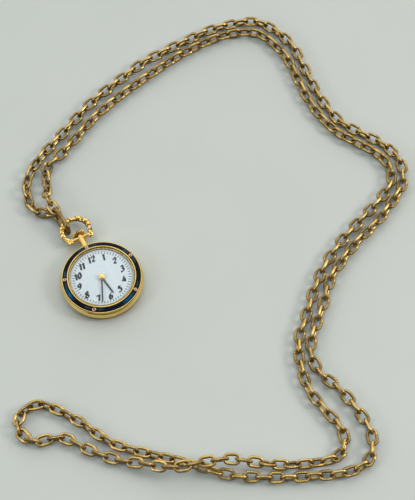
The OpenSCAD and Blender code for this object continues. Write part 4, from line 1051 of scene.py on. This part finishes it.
class WATCH_OT_stage(bpy.types.Operator):
    """Makes the floor, the lamps, the sky and the camera"""
    bl_idname = "watch.stage"
    bl_label = "Stage"

    def execute(self, context):
        s = settings("stage")
        scene = context.scene
        scene.view_settings.view_transform = "Standard"
        half, thick = 1.5, 0.01
        corner = np.array([(-1, -1), (1, -1), (1, 1), (-1, 1)]) * half
        mesh = bpy.data.meshes.new("floor")
        mesh.from_pydata([(x, y, 0) for x, y in corner] + [(x, y, -thick) for x, y in corner], [],
                         [(0, 1, 2, 3), (7, 6, 5, 4), (0, 4, 5, 1), (1, 5, 6, 2), (2, 6, 7, 3),
                          (3, 7, 4, 0)])
        mesh.materials.append(plain("floor_pale", s.floor, 0.6, dim(s.floor, 0.97), patch=40))
        floor = bpy.data.objects.new("floor", mesh)
        scene.collection.objects.link(floor)

        world = bpy.data.worlds.new("sky")
        scene.world = world
        world.use_nodes = True
        tree = world.node_tree
        bright_way = (0.30, 0.66, 0.69)
        seen = node(tree, "ShaderNodeTexCoord").outputs["Generated"]
        side = node(tree, "ShaderNodeVectorMath", {0: seen, 1: bright_way},
                    operation="DOT_PRODUCT").outputs["Value"]
        tone = blend(tree, ramp(tree, side, 0.0, 0.95), (0.09, 0.09, 0.09), (1.76, 1.80, 1.82))
        background = tree.nodes["Background"]
        connect(tree, background, Color=tone)
        background.inputs["Strength"].default_value = 0.76
        soft_lamp("key", (0.735, -0.363, 0.574), 2.4, (1.0, 0.99, 0.96))
        soft_lamp("fill", (-0.85, 0.02, 0.53), 1.4, (0.95, 0.98, 1.0))

        ahead = np.array([0.2099, 0.4251, -0.8805])
        ahead /= np.linalg.norm(ahead)
        right = np.array([0.8967, -0.4427, 0.0])
        focal, photo_width = 1400, 415  # both in the photo's pixels
        data = bpy.data.cameras.new("camera")
        data.sensor_fit, data.sensor_width = "HORIZONTAL", 36
        data.lens = data.sensor_width * focal / photo_width
        data.clip_start, data.clip_end = 0.01, 20
        camera = bpy.data.objects.new("camera", data)
        camera.matrix_world = aimed(right, np.cross(right, ahead), -ahead, s.camera_place)
        scene.collection.objects.link(camera)
        scene.camera = camera
        return {"FINISHED"}


# ---------------------------------------------------------------- add-on


class WATCH_PT_panel(bpy.types.Panel):
    """Lists the watch's settings and pieces"""
    bl_label = "Pendant watch"
    bl_idname = "WATCH_PT_panel"
    bl_space_type = "VIEW_3D"
    bl_region_type = "UI"
    bl_category = "Watch"

    def draw(self, context):
        for name, group in GROUPS.items():
            box = self.layout.box()
            box.label(text=name.capitalize())
            for prop in group.__annotations__:
                box.prop(settings(name), prop)
        for operator in OPERATORS:
            self.layout.operator(operator.bl_idname)


GROUPS = {"chain": WatchChainSettings, "case": WatchCaseSettings, "dial": WatchDialSettings,
          "stage": WatchStageSettings}
OPERATORS = (WATCH_OT_stage, WATCH_OT_chain, WATCH_OT_bail, WATCH_OT_bow, WATCH_OT_crown,
             WATCH_OT_neck, WATCH_OT_case, WATCH_OT_enamel, WATCH_OT_stones, WATCH_OT_crystal,
             WATCH_OT_dial, WATCH_OT_hands, WATCH_OT_movement)


def register():
    """Adds the settings, operators and panel to Blender."""
    for cls in (*GROUPS.values(), *OPERATORS, WATCH_PT_panel):
        bpy.utils.register_class(cls)
    for name, group in GROUPS.items():
        setattr(bpy.types.Scene, "watch_" + name, bpy.props.PointerProperty(type=group))


def unregister():
    """Takes them out again."""
    for name in GROUPS:
        delattr(bpy.types.Scene, "watch_" + name)
    for cls in (WATCH_PT_panel, *reversed(OPERATORS), *reversed(list(GROUPS.values()))):
        bpy.utils.unregister_class(cls)


def main():
    """Makes the stage and every piece."""
    register()
    for operator in OPERATORS:
        group, name = operator.bl_idname.split(".")
        getattr(getattr(bpy.ops, group), name)()


if __name__ == "__main__":
    main()
